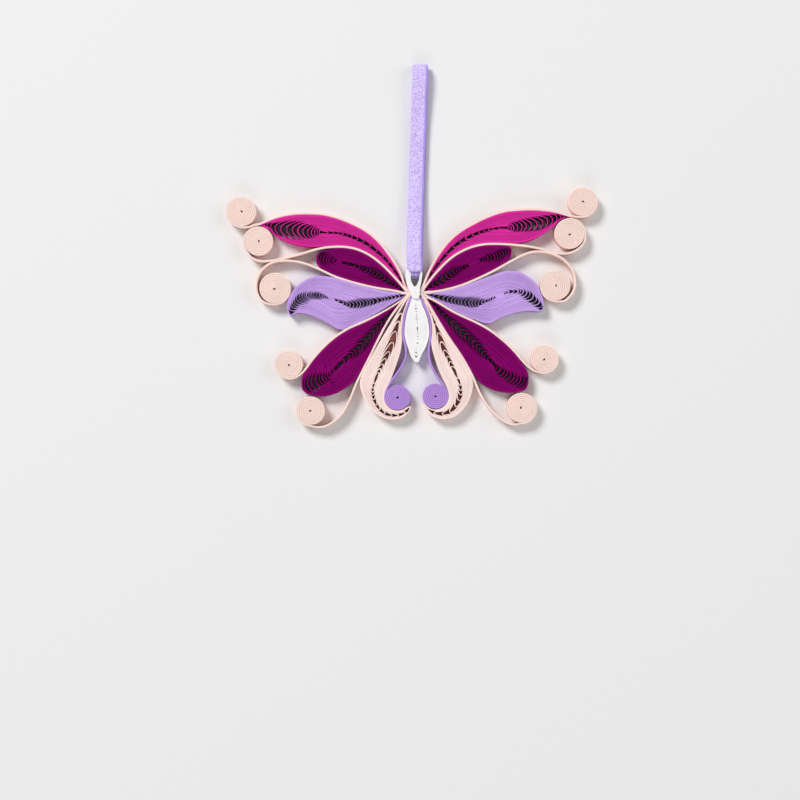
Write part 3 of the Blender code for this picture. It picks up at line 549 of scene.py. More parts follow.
def along(line):
    """How far each point is along the line."""
    return np.concatenate([[0.0], np.cumsum(np.linalg.norm(np.diff(line, axis=0), axis=1))])


def at_shares(line, shares):
    """Points at shares of the line's length."""
    far = along(line)
    return np.stack([np.interp(np.array(shares) * far[-1], far, c) for c in line.T], axis=-1)


def smooth(points, step):
    """A smooth curve through points that may lie unevenly."""
    p = np.array(points, float)
    far = along(p)
    slope = np.gradient(p, far, axis=0)
    at = np.unique(np.concatenate([np.linspace(0, far[-1], int(far[-1] / step) + 2), far]))
    k = np.clip(np.searchsorted(far, at, side="right") - 1, 0, len(p) - 2)
    gap = (far[k + 1] - far[k])[:, None]
    t = ((at - far[k])[:, None]) / gap
    return (
        (2 * t**3 - 3 * t**2 + 1) * p[k] + (t**3 - 2 * t**2 + t) * gap * slope[k]
        + (3 * t**2 - 2 * t**3) * p[k + 1] + (t**3 - t**2) * gap * slope[k + 1]
    )


def outlines(node):
    """The closed outlines of a solid's flat underside, the longest first, in the plane."""
    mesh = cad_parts[node].data
    mesh.calc_loop_triangles()
    corners = np.array([v.co for v in mesh.vertices])
    points, same = np.unique(np.round(corners, 7), axis=0, return_inverse=True)
    same = same.reshape(-1)
    low = points[:, 2] < points[:, 2].min() + 1e-6
    edges = {}
    for triangle in mesh.loop_triangles:
        a, b, c = (int(same[v]) for v in triangle.vertices)
        if low[a] and low[b] and low[c]:
            for edge in ((a, b), (b, c), (c, a)):
                if edges.pop(edge[::-1], None) is None:
                    edges[edge] = True
    after = {a: b for a, b in edges}
    loops = []
    while after:
        here = next(iter(after))
        loop = []
        while here in after:
            loop.append(here)
            here = after.pop(here)
        loops.append(points[loop][:, :2])
    return sorted(loops, key=lambda loop: -along(loop)[-1])


def strip_line(node):
    """The middle of a strip's solid, from its coil's core to the waist."""
    ring = outlines(node)[0]
    count = len(ring) // 2
    best = None
    for start in range(len(ring)):
        turned = np.roll(ring, -start, axis=0)
        one, two = turned[:count], turned[count:][::-1]
        if len(two) != count:
            raise ValueError(f"{node} isn't a strip with as many corners at each side")
        spread = np.ptp(np.linalg.norm(one - two, axis=1))
        if best is None or spread < best[0]:
            best = (spread, (one + two) / 2)
    line = best[1]
    waist = np.array(WAIST) * MM
    if np.linalg.norm(line[0] - waist) < np.linalg.norm(line[-1] - waist):
        line = line[::-1]
    return line


def coil_of(line):
    """The coil at a strip's start: centre, radius and direction where its end leaves, winding, index."""
    z = line[:, 0] + 1j * line[:, 1]
    first = z[:FIRST_POINTS]
    runs = np.diff(first)
    step = float(np.median(np.angle(runs[1:] / runs[:-1])))
    k = np.arange(FIRST_POINTS)
    v = np.exp(1j * step * k)
    centre = np.linalg.lstsq(np.stack([np.ones(len(k)), v, k * v], axis=1), first, rcond=None)[0][0]
    out = z - centre
    angle = np.unwrap(np.angle(out))
    pitch = np.polyfit(angle[:FIRST_POINTS], np.abs(out[:FIRST_POINTS]), 1)
    off = np.abs(np.abs(out) - np.polyval(pitch, angle))
    leaves = int(np.argmax(off > OFF_THE_COIL)) - 1
    return dict(
        centre=(centre.real, centre.imag), radius=float(abs(out[leaves])), angle=float(angle[leaves]),
        winds=float(np.sign(step)), index=leaves,
    )


# Strips on edge

STRIP_INPUTS = (
    ("Coil centre", "NodeSocketVector"), ("Coil turns", "NodeSocketFloat"),
    ("Coil core", "NodeSocketFloat"), ("Coil radius", "NodeSocketFloat"),
    ("Leaving angle", "NodeSocketFloat"), ("Winding", "NodeSocketFloat"),
    ("Paper", "NodeSocketFloat"), ("Bottom", "NodeSocketFloat"), ("Height", "NodeSocketFloat"),
    ("Edge", "NodeSocketFloat"), ("Unevenness", "NodeSocketFloat"), ("Wobble", "NodeSocketFloat"),
    ("Seed", "NodeSocketInt"), ("Material", "NodeSocketMaterial"),
)


def named_value(graph, name):
    node = graph.add("GeometryNodeInputNamedAttribute", {"data_type": "FLOAT"}, name)
    return graph.out(node, "Attribute")


def strips_tree():
    """Geometry nodes that wind the coil of a line and stand a strip of paper on edge along it."""
    found = bpy.data.node_groups.get("Paper strips on edge")
    if found:
        return found
    tree = bpy.data.node_groups.new("Paper strips on edge", "GeometryNodeTree")
    tree.interface.new_socket(name="Geometry", in_out="INPUT", socket_type="NodeSocketGeometry")
    for name, kind in STRIP_INPUTS:
        tree.interface.new_socket(name=name, in_out="INPUT", socket_type=kind)
    tree.interface.new_socket(name="Geometry", in_out="OUTPUT", socket_type="NodeSocketGeometry")
    graph = Graph(tree)
    entry = graph.add("NodeGroupInput", {})
    given = {socket.name: Wire(graph, socket) for socket in entry.outputs if socket.name}

    wound = named_value(graph, "wound")
    radius = given["Coil radius"] - (given["Coil radius"] - given["Coil core"]) * wound
    angle = given["Leaving angle"] - given["Winding"] * given["Coil turns"] * wound * (2 * math.pi)
    turned = graph.wire(
        "ShaderNodeCombineXYZ", {}, radius * angle.math("COSINE", angle), radius * angle.wave(), 0.0)
    place = graph.wire("ShaderNodeVectorMath", {"operation": "ADD"}, given["Coil centre"], turned)
    coiled = graph.wire(
        "GeometryNodeSetPosition", {}, given["Geometry"], wound > -0.5, place, (0.0, 0.0, 0.0))

    strip = named_value(graph, "strip")
    here = graph.wire("GeometryNodeInputPosition", {})
    apart = graph.wire("ShaderNodeCombineXYZ", {}, 0.0, 0.0, strip * 0.0006)
    moved = graph.wire("ShaderNodeVectorMath", {"operation": "ADD"}, here, apart)
    noise = graph.add("ShaderNodeTexNoise", {}, moved, Scale=220.0, Detail=1.0)
    stray = graph.wire(
        "ShaderNodeVectorMath", {"operation": "SUBTRACT"}, graph.out(noise, "Color"), (0.5, 0.5, 0.5))
    stray = graph.wire("ShaderNodeVectorMath", {"operation": "MULTIPLY"}, stray, (1.0, 1.0, 0.0))
    loose = graph.wire(
        "GeometryNodeSetPosition", {}, coiled, None, None, scaled(graph, stray, given["Wobble"]))

    line = graph.wire("GeometryNodeMeshToCurve", {}, loose)
    upright = graph.wire("GeometryNodeSetCurveNormal", {"mode": "Z_UP"}, line)
    thick = named_value(graph, "thick")
    share = thick / given["Paper"]

    section = graph.wire(
        "GeometryNodeCurvePrimitiveQuadrilateral", {"mode": "RECTANGLE"},
        given["Paper"], given["Height"])
    rounded = graph.wire(
        "GeometryNodeFilletCurve", {}, section, given["Edge"], True)
    spot = graph.add("ShaderNodeSeparateXYZ", {}, graph.wire("GeometryNodeInputPosition", {}))
    sided = graph.wire(
        "GeometryNodeStoreNamedAttribute", {"data_type": "FLOAT", "domain": "POINT"},
        rounded, None, "side", graph.out(spot, "X") / given["Paper"] * 2.0)
    swept = graph.wire(
        "GeometryNodeCurveToMesh", {}, Curve=upright, Profile_Curve=sided, Scale=share, Fill_Caps=True)

    here = graph.add("ShaderNodeSeparateXYZ", {}, graph.wire("GeometryNodeInputPosition", {}))
    level = graph.out(here, "Z") / share
    lift = graph.wire(
        "FunctionNodeRandomValue", {"data_type": "FLOAT"},
        Min=0.0, Max=1.0, ID=strip, Seed=given["Seed"])
    top = given["Height"] / 2 - given["Unevenness"] * lift * (level > 0.0)
    level = level / given["Height"] * 2.0 * top + given["Height"] / 2 + given["Bottom"]
    spot = graph.wire("ShaderNodeCombineXYZ", {}, graph.out(here, "X"), graph.out(here, "Y"), level)
    stood = graph.wire("GeometryNodeSetPosition", {}, swept, None, spot)
    real = graph.wire("GeometryNodeRealizeInstances", {}, stood)
    done = graph.wire("GeometryNodeSetMaterial", {}, real, None, given["Material"])
    graph.add("NodeGroupOutput", {}, done)
    return tree


def lines_mesh(name, lines):
    """A mesh of bare lines with what the nodes need to know at each point."""
    points, edges, values = [], [], {"thick": [], "wound": [], "strip": []}
    for number, line in enumerate(lines):
        first, count = len(points), len(line["points"])
        points += [(x, y, 0.0) for x, y in line["points"]]
        edges += [(first + i, first + i + 1) for i in range(count - 1)]
        if line["closed"]:
            edges.append((first + count - 1, first))
        values["thick"] += list(np.broadcast_to(line["thick"], count))
        values["wound"] += list(line.get("wound", np.full(count, -1.0)))
        values["strip"] += [float(number + 1)] * count
    mesh = bpy.data.meshes.new(name)
    mesh.from_pydata(points, edges, [])
    for key, numbers in values.items():
        layer = mesh.attributes.new(key, "FLOAT", "POINT")
        layer.data.foreach_set("value", np.array(numbers, np.float32))
    return mesh


def stand_strips(name, lines, material, **inputs):
    """One piece of paper strips on edge along lines, as a plain mesh."""
    sizes = bpy.context.scene.butterfly_sizes
    tree = strips_tree()
    # A seed for each piece, so that strips of two pieces that cross don't stand equally high
    seed = sizes.seed + len(bpy.data.meshes) + 1
    source = bpy.data.objects.new(name + "_lines", lines_mesh(name + "_lines", lines))
    bpy.context.scene.collection.objects.link(source)
    modifier = source.modifiers.new("Strips", "NODES")
    modifier.node_group = tree
    values = {
        "Coil centre": (0.0, 0.0, 0.0), "Coil turns": 0.0, "Coil core": 0.0, "Coil radius": 0.0,
        "Leaving angle": 0.0, "Winding": 1.0, "Paper": sizes.wing_paper, "Bottom": 0.0,
        "Height": sizes.strip_height, "Edge": sizes.edge, "Unevenness": sizes.unevenness,
        "Wobble": sizes.wobble, "Seed": seed, "Material": material, **inputs,
    }
    for item in tree.interface.items_tree:
        if item.in_out == "INPUT" and item.name in values:
            modifier[item.identifier] = values[item.name]
    evaluated = source.evaluated_get(bpy.context.evaluated_depsgraph_get())
    mesh = bpy.data.meshes.new_from_object(evaluated)
    mesh.name = name
    bpy.data.objects.remove(source)
    piece = bpy.data.objects.new(name, mesh)
    bpy.context.scene.collection.objects.link(piece)
    return piece


def finish_piece(piece, node):
    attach(piece, "root")
    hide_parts(node)


# Scrolls

POINTS_A_TURN = 36
LINE_STEP = 0.0006  # along a scroll's loose end
NEAR_MEETING = 0.0012  # an end that comes this near to the meeting point isn't led on to it
SWELLS_OVER = 0.003  # the length in which a loose end gets its thickness
GLUED_OVER = 0.0025  # the length in which the ends are glued up at the waist


def beside_neck(place, side):
    """A place given for the right side, at the side of a point so far across."""
    return np.array([math.copysign(place[0], side), place[1]]) * MM


def scroll_lines(node, sizes):
    """A scroll's line, with the share of the coil that is still to be wound at each of its points."""
    solid = strip_line(node)
    coil = coil_of(solid)
    index = coil["index"]
    turns = (coil["radius"] - sizes.coil_core - sizes.rim_paper / 2) / sizes.coil_pitch
    share = np.linspace(1, 0, int(turns * POINTS_A_TURN) + 1)
    ahead = beside_neck(TAILS_MEET if "tail" in node else MEETING, solid[-1, 0]) - solid[-1]
    if np.linalg.norm(ahead) > NEAR_MEETING:
        solid = np.vstack([solid, solid[-1] + ahead])
    end = smooth(solid[index - 2 :], LINE_STEP)
    start = int(np.linalg.norm(end - solid[index], axis=1).argmin())
    end = end[start + 1 :]
    centre = np.array(coil["centre"])
    points = np.vstack([np.broadcast_to(centre, (len(share), 2)), end])
    wound = np.concatenate([share, np.full(len(end), -1.0)])
    far = along(end)
    swell = np.clip(far / SWELLS_OVER, 0, 1) * (sizes.loose_paper - sizes.rim_paper)
    if "tail" not in node:
        glued = np.clip((far - far[-1]) / GLUED_OVER + 1, 0, 1)
        swell += glued * (sizes.waist_paper - sizes.loose_paper)
    thick = np.concatenate([np.full(len(share), sizes.rim_paper), sizes.rim_paper + swell])
    line = dict(points=points, closed=False, thick=thick, wound=wound)
    inputs = {
        "Coil centre": (*coil["centre"], 0.0), "Coil turns": turns,
        "Coil core": sizes.coil_core + sizes.rim_paper / 2, "Coil radius": coil["radius"],
        "Leaving angle": coil["angle"], "Winding": coil["winds"], "Paper": sizes.rim_paper,
    }
    return [line], inputs


# Wings

FLANK_STEP = 0.0003  # along a wing's flanks
LOOP_STEP = 0.00032  # along a finished loop
CAP_POINTS = 10  # from the spine to a flank
ROOT_TURN = 0.003  # where the outermost loop turns, as a share of the wing's length
TIP_TURN = 0.993
SHORTEST_LOOP = 0.02  # a loop is this share of the length or longer
CLOSED = 0.00001  # what is left of an opening where the loops lie together
CAP_ROOM = 0.0006  # where more than this is left before the first cap, one more lies at the wing's end
SWEEP_FROM = 0.0005  # nearer to the spine than this a cap hardly sweeps back
IN_ORDER = 0.00001  # the share of the length by which two openings lie apart at least
ROW_ENDS_OVER = 0.01  # the share of the length in which a row's last opening closes


def flanks(node, tip, start):
    """Both sides of a wing from a starting point before its root to its tip, with as many points."""
    ring = outlines(node)[0]
    ends = []
    for spot in (WAIST, tip):
        middle = (ring + np.roll(ring, -1, axis=0)) / 2
        ends.append(int(np.linalg.norm(middle - np.array(spot) * MM, axis=1).argmin()))
    turned = np.roll(ring, -(ends[0] + 1), axis=0)
    cut = (ends[1] - ends[0]) % len(ring)
    one, two = turned[:cut], turned[cut:][::-1]
    sides = [np.vstack([start, smooth(line, FLANK_STEP)]) for line in (one, two)]
    count = max(len(side) for side in sides)
    return [at_shares(side, np.linspace(0, 1, count)) for side in sides]


def eased(values):
    """The values with each drawn halfway to its neighbours, but for the ends."""
    drawn = np.array(values, float)
    drawn[1:-1] = (drawn[:-2] + 2 * drawn[1:-1] + drawn[2:]) / 4
    return drawn


class Wing:
    """A wing's outline with the openings along its spine, between which its nested loops are laid."""

    def __init__(self, above, below, plan, sizes):
        self.middle = (above + below) / 2
        self.half = (above - below) / 2
        self.width = np.maximum(np.linalg.norm(self.half, axis=1), 1e-6)
        self.shares = np.linspace(0, 1, len(above))
        self.length = along(self.middle)[-1]
        self.packed = sizes.packed_paper
        self.paper = sizes.wing_paper * plan.get("fine", 1.0)
        self.widest = sizes.widest_loop * plan.get("broad", 1.0)
        self.turning = sizes.turning * plan.get("broad", 1.0)
        self.bends = {"root": plan["root_cap"], "tip": plan["tip_cap"]}
        self.caps = {}
        spine, tall = [(0.0, 0.0), (1.0, 0.0)], []
        for end, rows, way in (("root", plan["root"], 1), ("tip", plan["tip_row"], -1)):
            places = np.array(rows) * MM
            found = np.array([self.locate(place) for place in places[:, :2]])
            at = way * np.maximum.accumulate(way * found[:, 0])
            at = at + way * IN_ORDER * np.arange(len(at))
            spine += list(zip(at, eased(found[:, 1])))
            caps = self.between_openings(at, ROOT_TURN if way > 0 else TIP_TURN)
            self.caps[end] = caps
            tall += [(caps[0], 0.0), *zip(at, eased(places[:, 2])), (caps[-1], places[-1, 2] / 2)]
            tall.append((caps[-1] + way * ROW_ENDS_OVER, 0.0))
        self.spine = np.array(sorted(spine)).T
        self.tall = np.array(sorted(tall)).T

    def locate(self, place):
        """The share of the length at which a point lies, and how far it is across, -1 to 1."""
        away = place - self.middle
        across = (away * self.half).sum(axis=1) / self.width**2
        off = np.linalg.norm(away - across[:, None] * self.half, axis=1) + 10 * (np.abs(across) > 1)
        nearest = int(off[1:-1].argmin()) + 1
        return self.shares[nearest], across[nearest]

    def between_openings(self, at, edge):
        """Where the loops turn over the spine: before, between and after a row of openings."""
        inner = (at[1:] + at[:-1]) / 2
        first = np.clip(at[0] - (at[1] - at[0]) / 2, min(edge, at[0]), max(edge, at[0]))
        caps = [first, *inner, at[-1] + (at[-1] - at[-2]) / 2]
        if abs(first - edge) * self.length > CAP_ROOM:
            caps.insert(0, edge)
        return np.array(caps)

    def wide(self, share):
        return np.interp(share, self.shares, self.width)

    def lean(self, share):
        return np.interp(share, *self.spine)

    def point(self, share, across):
        """At a share of the length, and so far across from the middle."""
        place = [np.interp(share, self.shares, c) for c in self.middle.T]
        way = [np.interp(share, self.shares, c) for c in (self.half / self.width[:, None]).T]
        return np.stack([p + w * across for p, w in zip(place, way)], axis=-1)

    def reach(self, share, present, side):
        """How far the opening reaches to one side where so many loops lie at the flank."""
        room = self.wide(share) * (1 - side * self.lean(share)) - present * self.packed
        return np.maximum(np.minimum(np.interp(share, *self.tall), room), CLOSED)

    def swept(self, across, end):
        """How far a cap has swept back at a distance from the spine, as a share of the length."""
        sweep, hook = self.bends[end]
        return (sweep * across**2 / (across + SWEEP_FROM) + hook * across**3 / MM**2) / self.length

    def feet(self, caps, end, side):
        """Where the loops with those caps leave one flank."""
        inward = 1 if end == "root" else -1
        present = np.arange(len(caps)) + 1.0
        share = caps
        for _ in range(8):
            half = self.reach(share, present, side) + self.paper / 2
            share = caps + inward * self.swept(half, end)
        return inward * np.maximum.accumulate(inward * share + 1e-6 * present)

    def flank(self, number, feet, side):
        """One side of a loop from root to tip: its points, how thick it is and where it ends."""
        low, high = (feet[end, side][number] for end in ("root", "tip"))
        share = np.linspace(low, high, max(4, int((high - low) * self.length / FLANK_STEP)))
        numbers = np.arange(len(feet["root", side])) + 1.0
        present = np.minimum(
            np.interp(share, feet["root", side], numbers),
            np.interp(-share, -feet["tip", side], numbers))
        wide = self.wide(share)
        spacing = (wide * (1 - side * self.lean(share)) - self.reach(share, present, side)) / present
        thick = np.minimum(spacing, self.widest)
        across = wide - number * spacing - thick / 2
        return dict(
            points=self.point(share, side * across), thick=thick,
            away=across - side * self.lean(share) * wide, share=share)

    def cap(self, place, paper, flank, end, side):
        """Half of a loop's cap, from the spine to where it meets the flank."""
        last = 0 if end == "root" else -1
        foot, away, thick = (flank[key][last] for key in ("share", "away", "thick"))
        q = np.linspace(0, 1, CAP_POINTS)[:-1]
        bend = self.swept(q * away, end) / self.swept(away, end)
        share = place + (foot - place) * bend
        points = self.point(share, self.lean(share) * self.wide(share) + side * q * away)
        return points, paper + (thick - paper) * q**5


def nested_loops(above, below, plan, sizes):
    """The middle lines and thicknesses of a wing's loops, from the outermost in."""
    wing = Wing(above, below, plan, sizes)
    count = max(len(caps) for caps in wing.caps.values())
    caps, papers, feet = {}, {}, {}
    for end, found in wing.caps.items():
        bundle = ((np.arange(count) + 0.5) * len(found) // count).astype(int)
        plies = np.bincount(bundle)[bundle]
        papers[end] = np.minimum(wing.paper, wing.turning / plies)
        first = np.searchsorted(bundle, bundle)
        place = np.arange(count) - first - (plies - 1) / 2
        inward = 1 if end == "root" else -1
        caps[end] = found[bundle] + inward * place * papers[end] / wing.length
        for side in (1, -1):
            feet[end, side] = wing.feet(caps[end], end, side)
    lines = []
    for number in range(count):
        long = min(feet["tip", side][number] - feet["root", side][number] for side in (1, -1))
        if long < SHORTEST_LOOP:
            continue
        up, down = (wing.flank(number, feet, side) for side in (1, -1))
        halves = {
            (end, side): wing.cap(caps[end][number], papers[end][number], flank, end, side)
            for end in caps for side, flank in ((1, up), (-1, down))
        }
        lines.append(loop_line(up, down, halves))
    return lines


def loop_line(up, down, halves):
    """A loop's four parts joined: the upper flank, the tip's cap, the lower flank, the root's cap."""
    parts = [
        (up["points"], up["thick"]),
        tuple(part[::-1] for part in halves["tip", 1]),
        tuple(part[1:] for part in halves["tip", -1]),
        (down["points"][::-1], down["thick"][::-1]),
        tuple(part[::-1] for part in halves["root", -1]),
        tuple(part[1:] for part in halves["root", 1]),
    ]
    points = np.vstack([points for points, _ in parts])
    thick = np.concatenate([thick for _, thick in parts])
    return rounded_loop(points, thick * 1.01)


def rounded_loop(points, thick):
    """A closed line with even steps and its corners rubbed round."""
    ring = np.column_stack([points, thick])
    ring = np.vstack([ring, ring[:1]])
    far = along(ring[:, :2])
    at = np.linspace(0, far[-1], max(24, int(far[-1] / LOOP_STEP)), endpoint=False)
    ring = np.stack([np.interp(at, far, c) for c in ring.T], axis=1)
    for _ in range(2):
        ring = (np.roll(ring, 1, axis=0) + 2 * ring + np.roll(ring, -1, axis=0)) / 4
    return dict(points=ring[:, :2], thick=ring[:, 2], closed=True)


# Head loop

HEAD_STRIPS = 5  # from the eye to the outside
HEAD_POINTS = 90  # round each of them
NECK_REACH = 0.07  # how much further down the outside goes than the solid's


def head_lines():
    """Closed lines one round the other, from the outside of the head loop to the eye."""
    outside, eye = outlines("head_loop")[:2]
    centre = eye.mean(axis=0)
    angles = np.linspace(-math.pi, math.pi, HEAD_POINTS, endpoint=False)
    rings = []
    for ring in (eye, outside):
        ring = np.vstack([ring, ring[:1]])
        ring = at_shares(ring, np.linspace(0, 1, 721)) - centre
        turn = np.arctan2(ring[:, 1], ring[:, 0])
        order = turn.argsort()
        radius = np.interp(angles, turn[order], np.hypot(*ring.T)[order], period=2 * math.pi)
        rings.append(radius)
    rings[1] = rings[1] * (1 + NECK_REACH * np.clip(-np.sin(angles), 0, 1)**6)
    gap = (rings[1] - rings[0]) / HEAD_STRIPS
    lines = []
    for k in range(HEAD_STRIPS):
        radius = rings[0] + gap * (k + 0.5)
        radius = (np.roll(radius, 1) + 2 * radius + np.roll(radius, -1)) / 4
        points = centre + np.stack([radius * np.cos(angles), radius * np.sin(angles)], axis=1)
        lines.append(dict(points=points, thick=gap * 1.01, closed=True))
    return lines[::-1]


# Ribbon

RIBBON_STEP = 0.00025  # along the ribbon
RIBBON_COLUMNS = 25  # points across it
UPPER_LAYER = 0.0025  # the creases are only in what lies above this
OFF_THE_TABLE = 0.00001  # the least that it lies clear of what the butterfly lies on
WAVE_HEIGHT = 0.00004
EDGE_CURL = 0.00008
PLEATS = 2.5  # waves across the gathered end
PLEAT_DEPTH = 0.00014
CREASE_WIDTH = 0.00028
CREASE_DEPTH = 0.0001


def ribbon_mesh(name, ribbon):
    """A woven strip on its route, gathered where it enters the eye, and the route itself."""
    line = smooth(np.array(RIBBON_ROUTE) * MM, RIBBON_STEP)
    run = np.gradient(line, axis=0)
    run /= np.linalg.norm(run, axis=1)[:, None]
    across = np.array([1.0, 0, 0]) - run[:, :1] * run
    across /= np.linalg.norm(across, axis=1)[:, None]
    up = np.cross(across, run)
    gather = np.clip(
        (ribbon.gathers_from - line[:, 1]) / (ribbon.gathers_from - ribbon.gathers_to), 0, 1)
    gather = gather * gather * (3 - 2 * gather)
    wide = ribbon.width + (ribbon.gathered - ribbon.width) * gather
    columns = np.linspace(-1, 1, RIBBON_COLUMNS)
    far = along(line)
    rng = np.random.default_rng(3)
    waves = sum(
        np.sin(far[:, None] * f + columns[None] * g + p) * WAVE_HEIGHT
        for f, g, p in zip(rng.uniform(100, 500, 4), rng.uniform(-2, 2, 4), rng.uniform(0, 6, 4)))
    pleats = np.cos(columns * math.pi * PLEATS) * PLEAT_DEPTH
    above = line[:, 2] > UPPER_LAYER
    # how strongly creased: dips the upper layer, and sets the painted shade in the satin
    crease = above * sum(
        np.exp(-(((line[:, 1] - at * MM) / CREASE_WIDTH) ** 2)) * deep for at, deep in CREASES)
    high = waves * (1 - gather[:, None]) + pleats[None] * gather[:, None]
    high = high - crease[:, None] * CREASE_DEPTH
    curl = (columns**4)[None] * EDGE_CURL * (1 - gather[:, None])
    middle = line[:, None] + across[:, None] * (columns[None, :, None] * wide[:, None, None] / 2)
    middle = middle + up[:, None] * (high + curl)[..., None]
    middle[..., 2] = np.maximum(middle[..., 2], ribbon.thickness / 2 + OFF_THE_TABLE)
    thin = ribbon.thickness / 2 * np.sqrt(np.clip(1.02 - columns**16, 0.05, 1))
    rows, count = len(line), len(columns)
    top = middle + up[:, None] * thin[None, :, None]
    bottom = middle - up[:, None] * thin[None, :, None]
    ring = np.concatenate([top, bottom[:, ::-1]], axis=1)
    around = ring.shape[1]
    points = ring.reshape(-1, 3)
    faces = []
    for r in range(rows - 1):
        for c in range(around):
            a, b = r * around + c, r * around + (c + 1) % around
            faces.append((a, b, b + around, a + around))
    faces.append(tuple(range(around))[::-1])
    faces.append(tuple(range((rows - 1) * around, rows * around)))
    mesh = bpy.data.meshes.new(name)
    mesh.from_pydata(points.tolist(), [], faces)
    place = np.concatenate([columns, columns[::-1]]) * ribbon.width / 2
    for key, numbers in (
        ("across", np.tile(place, rows)), ("run", np.repeat(far, around)),
        ("crease", np.repeat(crease, around)),
    ):
        layer = mesh.attributes.new(key, "FLOAT", "POINT")
        layer.data.foreach_set("value", numbers.astype(np.float32))
    mesh.shade_smooth()
    return mesh, line


# Operators

ABDOMEN_ROOT = (-0.1, 7.9)  # where the abdomen's spine starts, in millimetres
SENSOR = 36.0  # the camera's, in millimetres
FLOOR_REACH = 3.0  # to each side
FLOOR_DROP = 0.00002  # below the strips' lower edges
SEEN_SKY = 0.9  # how bright the sky looks, whatever light it gives


class BUTTERFLY_OT_camera(bpy.types.Operator):
    """Look straight down on the butterfly, as the photograph does"""

    bl_idname = "butterfly.camera"
    bl_label = "Camera"

    def execute(self, context):
        stage = context.scene.butterfly_stage
        height = stage.distance + context.scene.butterfly_sizes.strip_height
        camera = bpy.data.cameras.new("camera")
        camera.sensor_width = SENSOR
        camera.lens = SENSOR * stage.distance / stage.frame_width
        camera.clip_start = 0.01
        camera.clip_end = 20.0
        holder = bpy.data.objects.new("camera", camera)
        holder.location = (stage.centre_x, stage.centre_y, height)
        context.scene.collection.objects.link(holder)
        context.scene.camera = holder
        return {"FINISHED"}


class BUTTERFLY_OT_ribbon(bpy.types.Operator):
    """Weave the ribbon and lay its loop through the head"""

    bl_idname = "butterfly.ribbon"
    bl_label = "Ribbon"

    def execute(self, context):
        ribbon = context.scene.butterfly_ribbon
        mesh, line = ribbon_mesh("satin_ribbon", ribbon)
        mesh.materials.append(satin_material("lilac_satin", tuple(ribbon.colour), ribbon.rib))
        piece = bpy.data.objects.new("satin_ribbon", mesh)
        context.scene.collection.objects.link(piece)
        finish_piece(piece, "hanging_ribbon")
        return {"FINISHED"}


class BUTTERFLY_OT_scrolls(bpy.types.Operator):
    """Wind the twelve scrolls and lead their ends to the waist"""

    bl_idname = "butterfly.scrolls"
    bl_label = "Scrolls"

    def execute(self, context):
        sizes = context.scene.butterfly_sizes
        for node in sorted(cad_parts):
            if not node.endswith("_scroll"):
                continue
            shade, slot = ("violet", "lilac_paper") if "tail" in node else ("pink", "pink_paper")
            lines, inputs = scroll_lines(node, sizes)
            piece = stand_strips(node + "_strip", lines, paper_for(shade), **inputs)
            finish_piece(piece, node)
        return {"FINISHED"}


class BUTTERFLY_OT_wings(bpy.types.Operator):
    """Lay the nested loops of the ten wings"""

    bl_idname = "butterfly.wings"
    bl_label = "Wings"

    def execute(self, context):
        sizes = context.scene.butterfly_sizes
        for node, plan in WINGS.items():
            above, below = flanks(node, plan["tip"], beside_neck(MEETING, plan["tip"][0]))
            lines = nested_loops(above, below, plan, sizes)
            piece = stand_strips(node + "_loops", lines, paper_for(plan["paper"]))
            finish_piece(piece, node)
        return {"FINISHED"}


class BUTTERFLY_OT_body(bpy.types.Operator):
    """Lay the white abdomen's loops and the head loop round its eye"""

    bl_idname = "butterfly.body"
    bl_label = "Body"

    def execute(self, context):
        sizes = context.scene.butterfly_sizes
        above, below = flanks("abdomen", ABDOMEN["tip"], np.array(ABDOMEN_ROOT) * MM)
        lines = nested_loops(above, below, ABDOMEN, sizes)
        sharp = {"Edge": 0.00001, "Unevenness": 0.00002}
        piece = stand_strips("abdomen_loops", lines, paper_for("white"), **sharp)
        finish_piece(piece, "abdomen")
        bottom = float(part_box("head_loop")[0].z)
        piece = stand_strips(
            "head_loop_strips", head_lines(), paper_for("white"), Bottom=bottom, **sharp)
        finish_piece(piece, "head_loop")
        return {"FINISHED"}


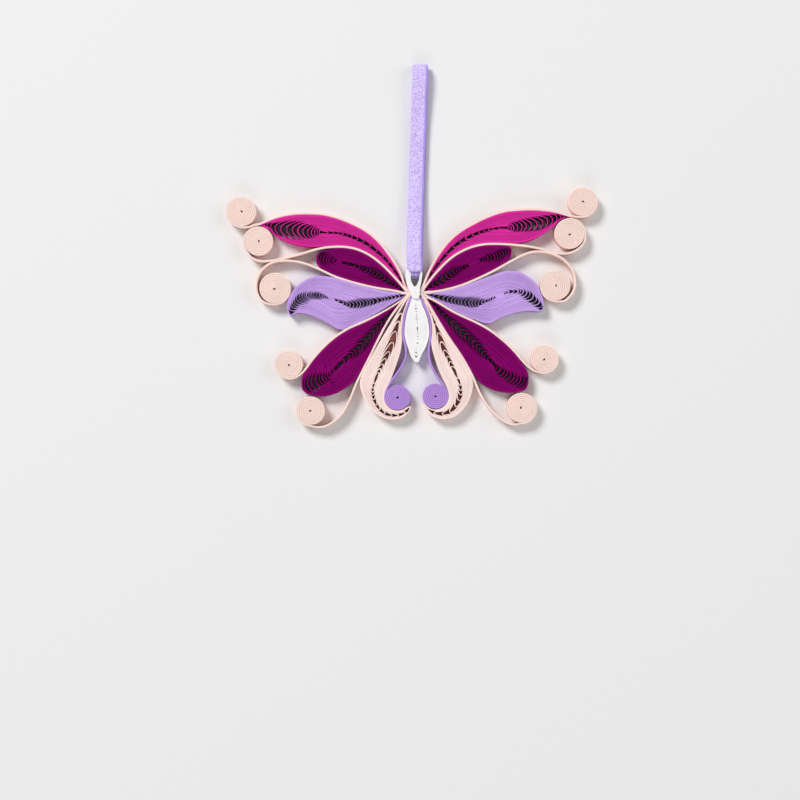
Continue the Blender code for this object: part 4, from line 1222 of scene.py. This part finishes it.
class BUTTERFLY_OT_stage(bpy.types.Operator):
    """Set the floor, the lamps and the sky"""

    bl_idname = "butterfly.stage"
    bl_label = "Stage"

    def execute(self, context):
        scene = context.scene
        stage = scene.butterfly_stage
        mesh = bpy.data.meshes.new("floor")
        wide, low = FLOOR_REACH, -FLOOR_DROP
        corners = [(-wide, -wide, low), (wide, -wide, low), (wide, wide, low), (-wide, wide, low)]
        mesh.from_pydata(corners, [], [(0, 1, 2, 3)])
        mesh.materials.append(floor_material(tuple(stage.floor)))
        floor = bpy.data.objects.new("floor", mesh)
        scene.collection.objects.link(floor)

        for name, place, size, power in (
            ("key", (-1.0, 1.1, 1.45), 0.8, stage.key),
            ("fill_right", (1.6, 0.25, 1.2), 1.6, stage.fill),
            ("fill_front", (-0.2, -1.7, 1.2), 1.6, stage.fill),
        ):
            lamp = bpy.data.lights.new(name, "AREA")
            lamp.shape = "DISK"
            lamp.size = size
            lamp.energy = power
            holder = bpy.data.objects.new(name, lamp)
            holder.location = place
            holder.rotation_euler = (-holder.location).to_track_quat("-Z", "Y").to_euler()
            scene.collection.objects.link(holder)

        world = bpy.data.worlds.new("sky")
        world.use_nodes = True
        world.node_tree.nodes.clear()
        graph = Graph(world.node_tree)
        path = graph.add("ShaderNodeLightPath", {})
        seen = (graph.out(path, "Is Camera Ray") + graph.out(path, "Is Glossy Ray")
                + graph.out(path, "Is Transmission Ray")).clamped()
        strength = stage.sky + seen * (SEEN_SKY - stage.sky)
        light = graph.wire("ShaderNodeBackground", {}, (1.0, 1.0, 1.0, 1.0), strength)
        graph.add("ShaderNodeOutputWorld", {}, light)
        scene.world = world
        scene.view_settings.view_transform = "Standard"
        return {"FINISHED"}


class BUTTERFLY_PT_panel(bpy.types.Panel):
    """The butterfly's pieces and settings"""

    bl_label = "Quilled butterfly"
    bl_idname = "BUTTERFLY_PT_panel"
    bl_space_type = "VIEW_3D"
    bl_region_type = "UI"
    bl_category = "Quilling"

    def draw(self, context):
        layout = self.layout
        for operator in STEPS:
            layout.operator(operator.bl_idname)
        for group in ("butterfly_sizes", "butterfly_colours", "butterfly_ribbon", "butterfly_stage"):
            settings = getattr(context.scene, group)
            box = layout.box()
            for name in settings.__annotations__:
                box.prop(settings, name)


STEPS = (
    BUTTERFLY_OT_camera, BUTTERFLY_OT_ribbon, BUTTERFLY_OT_scrolls, BUTTERFLY_OT_wings,
    BUTTERFLY_OT_body, BUTTERFLY_OT_stage,
)
GROUPS = {
    "butterfly_sizes": PaperSizes, "butterfly_colours": PaperColours,
    "butterfly_ribbon": RibbonSettings, "butterfly_stage": StageSettings,
}


def register():
    for kind in (*GROUPS.values(), *STEPS, BUTTERFLY_PT_panel):
        bpy.utils.register_class(kind)
    for name, kind in GROUPS.items():
        setattr(bpy.types.Scene, name, bpy.props.PointerProperty(type=kind))


def unregister():
    for name in GROUPS:
        delattr(bpy.types.Scene, name)
    for kind in (BUTTERFLY_PT_panel, *reversed(STEPS), *reversed(GROUPS.values())):
        bpy.utils.unregister_class(kind)


def main():
    register()
    for step in STEPS:
        group, name = step.bl_idname.split(".")
        getattr(getattr(bpy.ops, group), name)()


if __name__ == "__main__":
    main()
